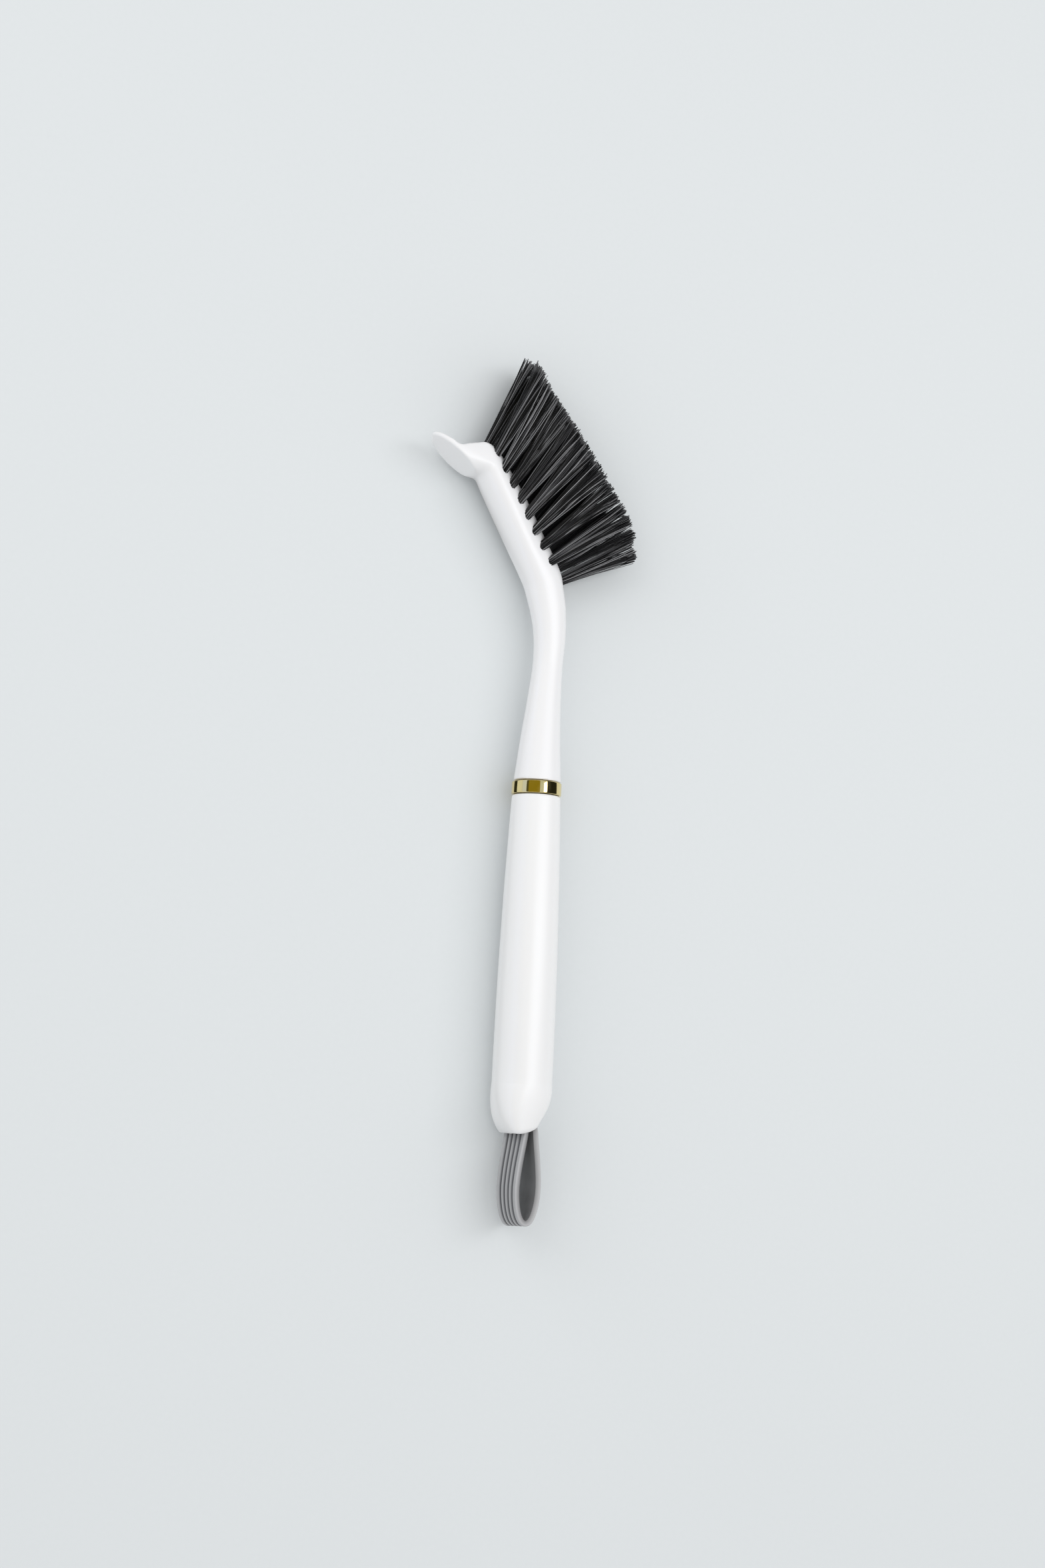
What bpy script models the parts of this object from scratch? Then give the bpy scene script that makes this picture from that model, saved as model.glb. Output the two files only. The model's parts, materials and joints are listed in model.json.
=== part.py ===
"""Sink brush, lying on its side.

The handle's axis runs along Y with the head towards +Y, the bristles point to +X and the brush is
mirror-symmetric about the level plane through the axis, apart from the strap's slight twist.
All sizes are the real ones, in metres. The middle of the collar ring is the design origin, and the
whole brush is then carried by one empty that puts the origin at the middle of its footprint.
"""

import math

import bmesh
import bpy
from mathutils import Matrix, Vector

MM = 0.001
GAP = 0.3 * MM
OVERLAP = 1.0 * MM
ROUND_SIDES = 24
LOFT_SIDES = 32

# Collar ring
RING_DIAMETER = 16.7 * MM
RING_HEIGHT = 4.2 * MM
RING_EDGE = 0.5 * MM

# Tang of the neck and its socket in the handle
TANG_DIAMETER = 9.6 * MM
TANG_LENGTH = 26.0 * MM
TANG_RIB = 0.6 * MM
TANG_RIB_WIDTH = 1.6 * MM
TANG_RIB_INSET = 3.5 * MM
TANG_CHAMFER = 0.8 * MM
TANG_LEAD = 1.2 * MM
BORE_LENGTH = 84.0 * MM
BORE_STEP = 0.8 * MM
BORE_DRAFT = 0.5 * MM

# Handle
HANDLE_LENGTH = 109.8 * MM
HANDLE_THICKNESS = 19.6 * MM
HANDLE_WIDTH = 22.6 * MM
HANDLE_SHOULDER = 16.2 * MM
DOME_LENGTH = 14.5 * MM
DOME_LEAN = 0.5 * MM
DOME_END_THICKNESS = 9.6 * MM
DOME_END_WIDTH = 17.2 * MM
DOME_END_SLANT = math.radians(16.0)
DOME_END_SQUARENESS = 3.4

# Neck: places (X, Y) in millimetres that the middle line of the swan neck passes through
NECK_PATH = (
    (0.1, 2.4), (0.4, 15.0), (1.1, 30.0), (1.75, 42.0), (2.0, 50.0), (1.65, 56.0), (0.75, 61.9),
    (-0.6, 67.2),
)
NECK_ROOT_DIAMETER = 16.1 * MM
NECK_DIAMETER = 10.1 * MM

# Head
HEAD_BASE = (-2.1, 71.7)
HEAD_LEAN = math.radians(29.4)
HEAD_LENGTH = 51.2 * MM
HEAD_WIDTH = 16.0 * MM
HEAD_DEPTH = 12.6 * MM
WIDEST_DROP = 1.0 * MM
CROWN_POWER = 1.5
HEAD_STATIONS = 40

# Scraper blade on the head's tip
SCRAPER_LENGTH = 20.8 * MM
SCRAPER_WIDTH = 16.4 * MM
SCRAPER_WIDEST = 0.435
SCRAPER_THICKNESS = 4.6 * MM
SCRAPER_TIP_THICKNESS = 1.5 * MM
SCRAPER_THINNING = 3.0
SCRAPER_EDGE = 0.6 * MM
SCRAPER_LEAN = math.radians(52.0)
SCRAPER_SET_BACK = 11.6 * MM
SCRAPER_BEHIND = 6.7 * MM

# Tufts
TUFT_PITCH = 5.8 * MM
TUFT_DIAMETER = 2.2 * MM
TUFT_TIP_DIAMETER = 4.0 * MM
TUFT_FREE_LENGTH = 31.4 * MM
TIP_TUFT_FREE_LENGTH = 34.2 * MM
NECK_TUFT_FREE_LENGTH = 29.0 * MM
TUFT_SIDES = 10
HOLE_DEPTH = 5.5 * MM
HOLE_OVERSHOOT = 4.0 * MM
HOLE_SIDES = 12
SIDE_ROW_START = HEAD_LENGTH - 6.8 * MM
SIDE_ROW_END = 3.6 * MM
SIDE_ROW_COUNT = 1 + int((SIDE_ROW_START - SIDE_ROW_END) / TUFT_PITCH)
SIDE_ROW_INSET = 1.9 * MM
SIDE_ROW_SPLAY = math.radians(5.5)
TIP_TUFT_PLACE = HEAD_LENGTH - 1.8 * MM
MIDDLE_ROW_COUNT = SIDE_ROW_COUNT
NECK_TUFT_PLACES = (0.8 * MM, -3.4 * MM)
LEAN_AT_TIP = math.radians(34.0)
LEAN_AT_NECK = 0.0

# Wire anchor at the fold of each tuft
ANCHOR_LENGTH = 2.2 * MM
ANCHOR_HEIGHT = 1.4 * MM
ANCHOR_THICKNESS = 0.4 * MM
FOLD_THICKNESS = 0.7 * MM

# Strap: a ribbed silicone band folded into a teardrop
STRAP_WIDTH = 13.8 * MM
STRAP_THICKNESS = 1.15 * MM
STRAP_RIB_HEIGHT = 0.6 * MM
STRAP_RIBS = 5
STRAP_OFFSET = 0.5 * MM
STRAP_TWIST = math.radians(6.0)
STRAP_TWIST_LENGTH = 12.0 * MM
LOOP_PIVOT_DEPTH = 0.8 * MM
LOOP_ROOT_DIAMETER = 5.0 * MM
LOOP_LENGTH = 30.45 * MM
LOOP_EYE_WIDTH = 5.9 * MM
LOOP_BOTTOM_LENGTH = 11.2 * MM
TAIL_LENGTH = 13.0 * MM
TAIL_THICKNESS = 3.4 * MM
TAIL_BARB = 0.5 * MM
TAIL_BARBS = 3
TAIL_BARB_STEP = 0.15
TAIL_PLAIN = 1.0 * MM
TAIL_CHAMFER = 0.5 * MM

# Slot that grips the strap's tail, and its flared mouth in which the loop swings
SLOT_CORNER = 0.5 * MM
MOUTH_THICKNESS = 8.2 * MM
MOUTH_WIDTH = 15.0 * MM
MOUTH_CORNER = 1.8 * MM
MOUTH_MIDDLE = -0.3 * MM

RING_TOP = RING_HEIGHT / 2
SHOULDER_Y = RING_TOP + GAP
HANDLE_START_Y = -RING_TOP - GAP
HANDLE_END_Y = HANDLE_START_Y - HANDLE_LENGTH
HOLE_RADIUS = TUFT_DIAMETER / 2 + GAP
PIVOT = Vector((STRAP_OFFSET, HANDLE_END_Y + LOOP_PIVOT_DEPTH, 0.0))
ALONG = Vector((-math.sin(HEAD_LEAN), math.cos(HEAD_LEAN), 0.0))
OUT = Vector((math.cos(HEAD_LEAN), math.sin(HEAD_LEAN), 0.0))
SIDE = Vector((0.0, 0.0, 1.0))


def clear_scene():
    for item in list(bpy.data.objects):
        bpy.data.objects.remove(item, do_unlink=True)


def plastic(name, colour, roughness, metallic=0.0):
    """A plain shaded material for one sub-part."""
    material = bpy.data.materials.new(name)
    material.use_nodes = True
    shader = material.node_tree.nodes["Principled BSDF"]
    shader.inputs["Base Color"].default_value = (*colour, 1.0)
    shader.inputs["Roughness"].default_value = roughness
    shader.inputs["Metallic"].default_value = metallic
    material.diffuse_color = (*colour, 1.0)
    return material


def add_object(name, mesh, material, parent):
    """A named object with its own material, carried by an empty."""
    item = bpy.data.objects.new(name, mesh)
    bpy.context.collection.objects.link(item)
    if not mesh.materials:
        mesh.materials.append(material)
    item.parent = parent
    return item


def mesh_from(name, shape, smooth_angle=math.radians(35.0)):
    """Closes a bmesh into a mesh with its faces outwards and its round faces smooth."""
    bmesh.ops.recalc_face_normals(shape, faces=shape.faces)
    mesh = bpy.data.meshes.new(name)
    shape.to_mesh(mesh)
    shape.free()
    mesh.shade_smooth()
    mesh.set_sharp_from_angle(angle=smooth_angle)
    return mesh


def smooth_through(keys, place):
    """Value at a place on the smooth curve through keys of (place, value, value...)."""
    last = len(keys) - 1
    index = 0
    while index < last - 1 and place > keys[index + 1][0]:
        index += 1
    start, end = keys[index], keys[index + 1]
    before = keys[max(index - 1, 0)]
    after = keys[min(index + 2, last)]
    span = end[0] - start[0]
    u = (place - start[0]) / span
    blended = []
    for low, v0, v1, high in zip(before[1:], start[1:], end[1:], after[1:]):
        slope_in = (v1 - low) / (end[0] - before[0])
        slope_out = (high - v0) / (after[0] - start[0])
        blended.append(
            (2 * u ** 3 - 3 * u ** 2 + 1) * v0 + (u ** 3 - 2 * u ** 2 + u) * span * slope_in
            + (3 * u ** 2 - 2 * u ** 3) * v1 + (u ** 3 - u ** 2) * span * slope_out
        )
    return blended


def ring_of(shape, points):
    """A closed loop of edges through the points."""
    verts = [shape.verts.new(point) for point in points]
    return [shape.edges.new((verts[i - 1], verts[i])) for i in range(len(verts))]


def loft(shape, sections):
    """Skins the sections one after another and closes both ends."""
    rings = [ring_of(shape, section) for section in sections]
    for first, second in zip(rings, rings[1:]):
        bmesh.ops.bridge_loops(shape, edges=first + second)
    for end in (rings[0], rings[-1]):
        bmesh.ops.contextual_create(shape, geom=end)


def cut(target, tool, operation="DIFFERENCE"):
    """Exact Boolean of a hidden tool on a target."""
    tool.hide_render = True
    tool.display_type = "WIRE"
    modifier = target.modifiers.new(operation.lower() + "_" + tool.name, "BOOLEAN")
    modifier.operation = operation
    modifier.solver = "EXACT"
    modifier.object = tool


def guide(name, shape, parent):
    """A hidden tool for a Boolean."""
    item = bpy.data.objects.new(name, mesh_from(name, shape))
    bpy.context.collection.objects.link(item)
    item.parent = parent
    item.hide_render = True
    item.display_type = "WIRE"
    return item


def bar(shape, start, end, radius, sides):
    """A closed round bar between two points."""
    axis = end - start
    turn = axis.to_track_quat("Z", "Y").to_matrix().to_4x4()
    turn = turn @ Matrix.Rotation(math.pi / sides, 4, "Z")
    bmesh.ops.create_cone(
        shape, cap_ends=True, segments=sides, radius1=radius, radius2=radius, depth=axis.length,
        matrix=Matrix.Translation((start + end) / 2) @ turn,
    )


def slot_outline(middle, half_thickness, half_width, corner, y, steps=4):
    """Oblong with round corners, across the handle's axis and in line with the strap."""
    points = []
    for quarter in range(4):
        side = 1.0 if quarter in (0, 3) else -1.0
        end = 1.0 if quarter < 2 else -1.0
        for step in range(steps + 1):
            angle = math.pi / 2 * (quarter + step / steps)
            x = side * (half_thickness - corner) + corner * math.cos(angle)
            z = end * (half_width - corner) + corner * math.sin(angle)
            points.append(Vector((middle + x, y, z)))
    return points


# Head, neck and tang

def spine_keys():
    """Keys of (length along the middle line, X, Y) from the ring to the head's tip."""
    places = [Vector((x * MM, y * MM, 0.0)) for x, y in NECK_PATH]
    base = Vector((HEAD_BASE[0] * MM, HEAD_BASE[1] * MM, 0.0))
    for share in (0.0, 0.25, 0.55, 0.85, 1.0):
        places.append(base + ALONG * HEAD_LENGTH * share)
    keys = []
    travelled = 0.0
    previous = places[0]
    for place in places:
        travelled += (place - previous).length
        keys.append((travelled, place.x, place.y))
        previous = place
    return keys


SPINE = spine_keys()
HEAD_PLACE = SPINE[len(NECK_PATH)][0]


def head_keys():
    """Keys of (length, back, crown, half width, drop of the widest level, power) along the spine."""
    root = NECK_ROOT_DIAMETER / 2
    slim = NECK_DIAMETER / 2
    deep = HEAD_DEPTH / 2
    wide = HEAD_WIDTH / 2
    keys = []
    for index, thinned in enumerate((0.05, 0.40, 0.79, 1.0)):
        radius = root + (slim - root) * thinned
        keys.append((SPINE[index][0], radius, radius, radius, 0.0, 2.0))
    for index, deep_share, wide_share in (
            (4, 1.05, 1.06), (5, 1.12, 1.14), (6, 1.21, 1.22), (7, 1.27, 1.31)):
        keys.append((SPINE[index][0], slim * deep_share, slim * deep_share, slim * wide_share, 0.0, 2.0))
    for share, back, crown, half, drop, power in (
            (0.0, 1.03, 1.10, 0.88, 0.4, 1.9), (0.235, 0.985, 1.15, 0.955, 0.9, CROWN_POWER),
            (0.53, 0.975, 1.11, 1.0, 1.0, CROWN_POWER), (0.74, 0.955, 0.93, 0.985, 1.0, CROWN_POWER),
            (0.855, 0.89, 0.77, 0.91, 0.8, 1.7), (0.93, 0.76, 0.48, 0.75, 0.4, 1.9),
            (1.0, 0.48, 0.08, 0.37, 0.0, 2.0)):
        keys.append((HEAD_PLACE + share * HEAD_LENGTH, deep * back, deep * crown, wide * half,
                     WIDEST_DROP * drop, power))
    return keys


HEAD_SHAPE = head_keys()


def head_section(length, sides=LOFT_SIDES):
    """Cross-section of the neck and head at a length along the spine."""
    step = 0.2 * MM
    x, y = smooth_through(SPINE, length)
    x0, y0 = smooth_through(SPINE, max(length - step, SPINE[0][0]))
    x1, y1 = smooth_through(SPINE, min(length + step, SPINE[-1][0]))
    along = Vector((x1 - x0, y1 - y0, 0.0)).normalized()
    out = Vector((along.y, -along.x, 0.0))
    back, crown, half, drop, power = smooth_through(HEAD_SHAPE, length)
    points = []
    for index in range(sides):
        angle = 2.0 * math.pi * index / sides
        cosine = math.cos(angle)
        sine = math.sin(angle)
        if cosine > 0.0:
            reach = (crown + drop) * cosine ** (2.0 / power) - drop
            wide = math.copysign(abs(sine) ** (2.0 / power), sine) * half
        else:
            reach = (back - drop) * cosine - drop
            wide = sine * half
        points.append(Vector((x, y, 0.0)) + out * reach + SIDE * wide)
    return points


def crown_point(along, side):
    """Point of the crowned face at a place along the head and beside its middle."""
    back, crown, half, drop, power = smooth_through(HEAD_SHAPE, HEAD_PLACE + along)
    x, y = smooth_through(SPINE, HEAD_PLACE + along)
    rise = (crown + drop) * (1.0 - (abs(side) / half) ** power) ** (1.0 / power) - drop
    return Vector((x, y, 0.0)) + OUT * rise + SIDE * side


def head_half_width(along):
    return smooth_through(HEAD_SHAPE, HEAD_PLACE + along)[2]


def scraper_blade():
    """Leaf-shaped plate with a flat outer face and rounded rims, thickest where it leaves the head."""
    direction = Vector((-math.sin(SCRAPER_LEAN), math.cos(SCRAPER_LEAN), 0.0))
    inward = Vector((math.cos(SCRAPER_LEAN), math.sin(SCRAPER_LEAN), 0.0))
    start = Vector((HEAD_BASE[0] * MM, HEAD_BASE[1] * MM, 0.0))
    start += ALONG * (HEAD_LENGTH - SCRAPER_SET_BACK) - OUT * SCRAPER_BEHIND
    widest = SCRAPER_LENGTH * SCRAPER_WIDEST
    shape = bmesh.new()
    verts = []
    for step in range(LOFT_SIDES):
        angle = 2.0 * math.pi * (step + 0.5) / LOFT_SIDES
        reach = SCRAPER_LENGTH - widest if math.cos(angle) > 0.0 else widest
        place = widest + reach * math.cos(angle)
        across = SCRAPER_WIDTH / 2 * math.sin(angle)
        verts.append(shape.verts.new(start + direction * place + SIDE * across))
    face = shape.faces.new(verts)
    grown = bmesh.ops.extrude_face_region(shape, geom=[face])
    for vert in (item for item in grown["geom"] if isinstance(item, bmesh.types.BMVert)):
        share = (vert.co - start).dot(direction) / SCRAPER_LENGTH
        thicker = (SCRAPER_THICKNESS - SCRAPER_TIP_THICKNESS) * (1.0 - min(share, 1.0)) ** SCRAPER_THINNING
        vert.co += inward * (SCRAPER_TIP_THICKNESS + thicker)
    bmesh.ops.recalc_face_normals(shape, faces=shape.faces)
    rims = [edge for edge in shape.edges if edge.calc_face_angle(0.0) > math.radians(50.0)]
    bmesh.ops.bevel(
        shape, geom=rims, offset=SCRAPER_EDGE, segments=2, profile=0.5, affect="EDGES",
        material=-1,
    )
    return shape


def circle(radius, y, sides=ROUND_SIDES):
    """Points of a circle round the handle's axis."""
    angles = [2.0 * math.pi * index / sides for index in range(sides)]
    return [Vector((radius * math.cos(angle), y, radius * math.sin(angle))) for angle in angles]


def tang():
    """Round stub of the neck that seats in the handle's socket."""
    radius = TANG_DIAMETER / 2
    end = SHOULDER_Y - TANG_LENGTH
    shape = bmesh.new()
    loft(shape, [
        circle(radius - TANG_CHAMFER, end), circle(radius, end + TANG_LEAD),
        circle(radius, SHOULDER_Y + OVERLAP),
    ])
    return shape


def tang_ribs():
    """Two crossed bars that stand out of the tang as its four crush ribs."""
    shape = bmesh.new()
    rib_start = HANDLE_START_Y - TANG_RIB_INSET
    rib_end = SHOULDER_Y - TANG_LENGTH + TANG_RIB_INSET
    reach = TANG_DIAMETER / 2 + TANG_RIB - GAP
    for turn in (0.0, math.pi / 2):
        box = Matrix.Translation((0.0, (rib_start + rib_end) / 2, 0.0)) @ Matrix.Rotation(turn, 4, "Y")
        size = Matrix.Diagonal((2 * reach, rib_start - rib_end, TANG_RIB_WIDTH, 1.0))
        bmesh.ops.create_cube(shape, size=1.0, matrix=box @ size)
    return shape


# Tufts

def tuft_lean(along):
    """Lean of a tuft towards the tip, which grows from the neck to the tip."""
    share = min(max((along - NECK_TUFT_PLACES[1]) / (TIP_TUFT_PLACE - NECK_TUFT_PLACES[1]), 0.0), 1.0)
    return LEAN_AT_NECK + (LEAN_AT_TIP - LEAN_AT_NECK) * math.sin(share * math.pi / 2)


def tuft_places():
    """Names and places (along, side) of all tufts, row by row."""
    places = [("tip", TIP_TUFT_PLACE, 0.0)]
    for row, sign in (("left", 1.0), ("right", -1.0)):
        for index in range(SIDE_ROW_COUNT):
            along = SIDE_ROW_START - TUFT_PITCH * index
            side = sign * (head_half_width(along) - SIDE_ROW_INSET)
            places.append((f"{row}_{index + 1}", along, side))
    for index in range(MIDDLE_ROW_COUNT - 1):
        along = SIDE_ROW_START - TUFT_PITCH * (index + 0.5)
        places.append((f"middle_{index + 1}", along, 0.0))
    for index, along in enumerate(NECK_TUFT_PLACES):
        places.append((f"middle_{MIDDLE_ROW_COUNT + index}", along, 0.0))
    return places


def tuft_frame(along, side):
    """Matrix that carries a tuft from its own axes to its hole: local Z points out of the hole."""
    lean = tuft_lean(along)
    splay = SIDE_ROW_SPLAY * side / (HEAD_WIDTH / 2 - SIDE_ROW_INSET)
    direction = (OUT * math.cos(lean) + ALONG * math.sin(lean)) * math.cos(splay)
    direction += SIDE * math.sin(splay)
    across = direction.cross(SIDE).normalized()
    wide = direction.cross(across).normalized()
    turn = Matrix((across, wide, direction)).transposed().to_4x4()
    return Matrix.Translation(crown_point(along, side)) @ turn


def anchor_height():
    """Lowest and highest place of the anchor on the tuft's axis."""
    low = -HOLE_DEPTH + GAP + FOLD_THICKNESS + GAP
    return low, low + ANCHOR_HEIGHT


def fold_window(parent):
    """Tool that parts the bundle's two legs round the staple."""
    low, high = anchor_height()
    place = Matrix.Translation((0.0, 0.0, (low + high) / 2))
    size = Matrix.Diagonal((ANCHOR_THICKNESS + 2 * GAP, TUFT_DIAMETER * 1.5, high - low + 2 * GAP, 1.0))
    shape = bmesh.new()
    bmesh.ops.create_cube(shape, size=1.0, matrix=place @ size)
    return guide("fold_window", shape, parent)


def tuft_mesh(name, length, window):
    """Bundle of filaments folded over its anchor, flaring to a blunt tip."""
    foot = -HOLE_DEPTH + GAP
    root = TUFT_DIAMETER / 2
    tip = TUFT_TIP_DIAMETER / 2
    stations = (
        (foot, root * 0.8), (foot + 0.5 * MM, root), (1.0 * MM, root),
        (length * 0.5, root + (tip - root) * 0.42), (length * 0.97, tip), (length, tip * 0.72),
    )
    shape = bmesh.new()
    sections = []
    for height, radius in stations:
        ring = []
        for index in range(TUFT_SIDES):
            angle = 2.0 * math.pi * (index + 0.5) / TUFT_SIDES
            ring.append(Vector((radius * math.cos(angle), radius * math.sin(angle), height)))
        sections.append(ring)
    loft(shape, sections)
    bundle = guide(name, shape, window.parent)
    cut(bundle, window)
    bpy.context.view_layer.update()
    seen = bundle.evaluated_get(bpy.context.evaluated_depsgraph_get())
    return bpy.data.meshes.new_from_object(seen)


def anchor_mesh():
    """Flat wire staple that stands across the fold of a bundle."""
    low, high = anchor_height()
    place = Matrix.Translation((0.0, 0.0, (low + high) / 2))
    size = Matrix.Diagonal((ANCHOR_THICKNESS, ANCHOR_LENGTH, ANCHOR_HEIGHT, 1.0))
    shape = bmesh.new()
    bmesh.ops.create_cube(shape, size=1.0, matrix=place @ size)
    return mesh_from("anchor_staple", shape)


def drill(frames):
    """All the tuft holes as one tool of separate round bars."""
    shape = bmesh.new()
    for frame in frames:
        floor = frame @ Vector((0.0, 0.0, -HOLE_DEPTH))
        above = frame @ Vector((0.0, 0.0, HOLE_OVERSHOOT))
        bar(shape, floor, above, HOLE_RADIUS, HOLE_SIDES)
    return shape


# Ring

def collar_ring():
    """Turned ring with rounded outer edges, bored to pass the tang."""
    outer = RING_DIAMETER / 2
    inner = TANG_DIAMETER / 2 + GAP
    half = RING_HEIGHT / 2
    profile = [(inner, half), (outer - RING_EDGE, half)]
    for step in range(1, 4):
        angle = math.pi / 2 * step / 4
        profile.append((outer - RING_EDGE + RING_EDGE * math.sin(angle),
                        half - RING_EDGE + RING_EDGE * math.cos(angle)))
    profile += [(outer, half - RING_EDGE)]
    profile += [(radius, -y) for radius, y in reversed(profile)]
    shape = bmesh.new()
    ring = ring_of(shape, [Vector((radius, y, 0.0)) for radius, y in profile])
    bmesh.ops.spin(
        shape, geom=ring, cent=(0.0, 0.0, 0.0), axis=(0.0, 1.0, 0.0), angle=2.0 * math.pi,
        steps=48, use_merge=True,
    )
    bmesh.ops.remove_doubles(shape, verts=shape.verts, dist=0.001 * MM)
    return shape


# Handle

def rounded_off(full, end, share):
    """Elliptical fall of a half size to what is left of it at the dome's end."""
    return full * math.sqrt(1.0 - (1.0 - min(end / full, 1.0) ** 2) * share ** 2)


def handle_section(depth, sides=LOFT_SIDES):
    """Oval cross-section of the handle at a depth below the ring."""
    slim = HANDLE_SHOULDER / 2
    thick = HANDLE_THICKNESS / 2
    wide = HANDLE_WIDTH / 2
    swell_length = HANDLE_LENGTH - 1.35 * DOME_LENGTH
    share = min(depth / swell_length, 1.0)
    growth = 1.0 - (1.0 - share) ** 2
    reach = slim + (thick - slim) * growth
    half = slim + (wide - slim) * growth
    into_dome = max(0.0, (depth - HANDLE_LENGTH + DOME_LENGTH) / DOME_LENGTH)
    reach = rounded_off(reach, DOME_END_THICKNESS / 2, into_dome)
    half = rounded_off(half, DOME_END_WIDTH / 2, into_dome)
    centre = -DOME_LEAN * into_dome
    slope = math.tan(DOME_END_SLANT) * into_dome
    power = 2.0 + (DOME_END_SQUARENESS - 2.0) * into_dome
    points = []
    for index in range(sides):
        angle = 2.0 * math.pi * index / sides
        across = math.copysign(abs(math.cos(angle)) ** (2.0 / power), math.cos(angle)) * reach
        wide = math.copysign(abs(math.sin(angle)) ** (2.0 / power), math.sin(angle)) * half
        points.append(Vector((centre + across, HANDLE_START_Y - depth + across * slope, wide)))
    return points


def handle_body():
    """Long tapered body that ends in a leaning dome."""
    straight = HANDLE_LENGTH - DOME_LENGTH
    depths = [straight * step / 13 for step in range(14)]
    for step in range(1, 11):
        depths.append(straight + DOME_LENGTH * math.sin(math.pi / 2 * step / 10))
    shape = bmesh.new()
    loft(shape, [handle_section(depth) for depth in depths])
    return shape


def handle_bore():
    """Cored bore from the ring end: the tang's socket and a tapered core behind it."""
    socket = TANG_DIAMETER / 2 + TANG_RIB
    core = socket - BORE_STEP
    seat = HANDLE_START_Y - TANG_LENGTH
    shape = bmesh.new()
    loft(shape, [
        circle(socket, HANDLE_START_Y + OVERLAP), circle(socket, seat),
        circle(core, seat - BORE_STEP), circle(core - BORE_DRAFT, HANDLE_START_Y - BORE_LENGTH),
    ])
    return shape


def slot_and_mouth():
    """Slot that grips the strap's tail, flaring into the mouth where the loop bends."""
    slot = TAIL_THICKNESS / 2 + TAIL_BARB + GAP
    wide = STRAP_WIDTH / 2 + GAP
    mouth = MOUTH_THICKNESS / 2
    mouth_wide = MOUTH_WIDTH / 2
    shape = bmesh.new()
    loft(shape, [
        slot_outline(PIVOT.x, slot, wide, SLOT_CORNER, tail_start() + TAIL_LENGTH + GAP),
        slot_outline(PIVOT.x, slot, wide, SLOT_CORNER, tail_start() - GAP),
        slot_outline(MOUTH_MIDDLE, mouth, mouth_wide, MOUTH_CORNER, PIVOT.y + LOOP_ROOT_DIAMETER / 4),
        slot_outline(MOUTH_MIDDLE, mouth, mouth_wide, MOUTH_CORNER, HANDLE_END_Y - 3 * OVERLAP),
    ])
    return shape


# Strap

def strap_section():
    """Cross-section (outward, across) of the band: a smooth inside and ribs outside."""
    half = STRAP_WIDTH / 2
    points = [(-STRAP_THICKNESS / 2, half - 0.25 * MM), (-STRAP_THICKNESS / 2 + 0.25 * MM, half)]
    pitch = STRAP_WIDTH / STRAP_RIBS
    for rib in range(STRAP_RIBS):
        edge = half - pitch * rib
        for across, height in ((0.12, 0.35), (0.32, 1.0), (0.68, 1.0), (0.88, 0.35)):
            points.append((STRAP_THICKNESS / 2 + STRAP_RIB_HEIGHT * (height - 0.35) / 0.65,
                           edge - pitch * across))
    points += [(-STRAP_THICKNESS / 2 + 0.25 * MM, -half), (-STRAP_THICKNESS / 2, -half + 0.25 * MM)]
    return points


def loop_path():
    """Middle line (beside the axis, below the pivot) and outward direction round the teardrop."""
    wide = LOOP_EYE_WIDTH / 2 + STRAP_THICKNESS / 2
    straight = LOOP_LENGTH - LOOP_BOTTOM_LENGTH
    close = LOOP_ROOT_DIAMETER / 2 - STRAP_THICKNESS / 2 - STRAP_RIB_HEIGHT
    leg_keys = [
        (straight * share, close + (wide - close) * opened)
        for share, opened in (
            (0.0, 0.0), (0.14, 0.2), (0.38, 0.42), (0.62, 0.68), (0.85, 0.98), (1.0, 1.0))
    ]
    leg = []
    for step in range(15):
        depth = straight * step / 15
        leg.append((smooth_through(leg_keys, depth)[0], depth))
    bottom = []
    for step in range(15):
        angle = math.pi * step / 14
        bottom.append((wide * math.cos(angle), straight + LOOP_BOTTOM_LENGTH * math.sin(angle)))
    path = leg + bottom + [(-x, depth) for x, depth in reversed(leg)]
    stations = []
    for index, (x, depth) in enumerate(path):
        x0, depth0 = path[max(index - 1, 0)]
        x1, depth1 = path[min(index + 1, len(path) - 1)]
        tangent = Vector((x1 - x0, depth1 - depth0)).normalized()
        stations.append((x, depth, tangent.y, -tangent.x))
    return stations


def twist(point):
    """Turns a strap point about the handle's axis by the twist at its depth below the pivot."""
    share = min(max((PIVOT.y - point.y) / STRAP_TWIST_LENGTH, 0.0), 1.0)
    angle = STRAP_TWIST * share * share * (3.0 - 2.0 * share)
    offset = point - PIVOT
    return PIVOT + Vector((offset.x * math.cos(angle) + offset.z * math.sin(angle), offset.y,
                           offset.z * math.cos(angle) - offset.x * math.sin(angle)))


def loop_band():
    """The ribbed band swept round the teardrop."""
    shape = bmesh.new()
    sections = []
    for x, depth, out_x, out_depth in loop_path():
        section = []
        for outward, across in strap_section():
            point = PIVOT + Vector((x + outward * out_x, -depth - outward * out_depth, across))
            section.append(twist(point))
        sections.append(section)
    loft(shape, sections)
    return shape


def loop_root():
    """Round root in which the two legs join, on the bending line."""
    shape = bmesh.new()
    half = Vector((0.0, 0.0, STRAP_WIDTH / 2))
    bar(shape, PIVOT - half, PIVOT + half, LOOP_ROOT_DIAMETER / 2, ROUND_SIDES)
    return shape


def tail_start():
    """Where the tail begins above the loop's round root."""
    return PIVOT.y + LOOP_ROOT_DIAMETER / 2 + GAP


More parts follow.
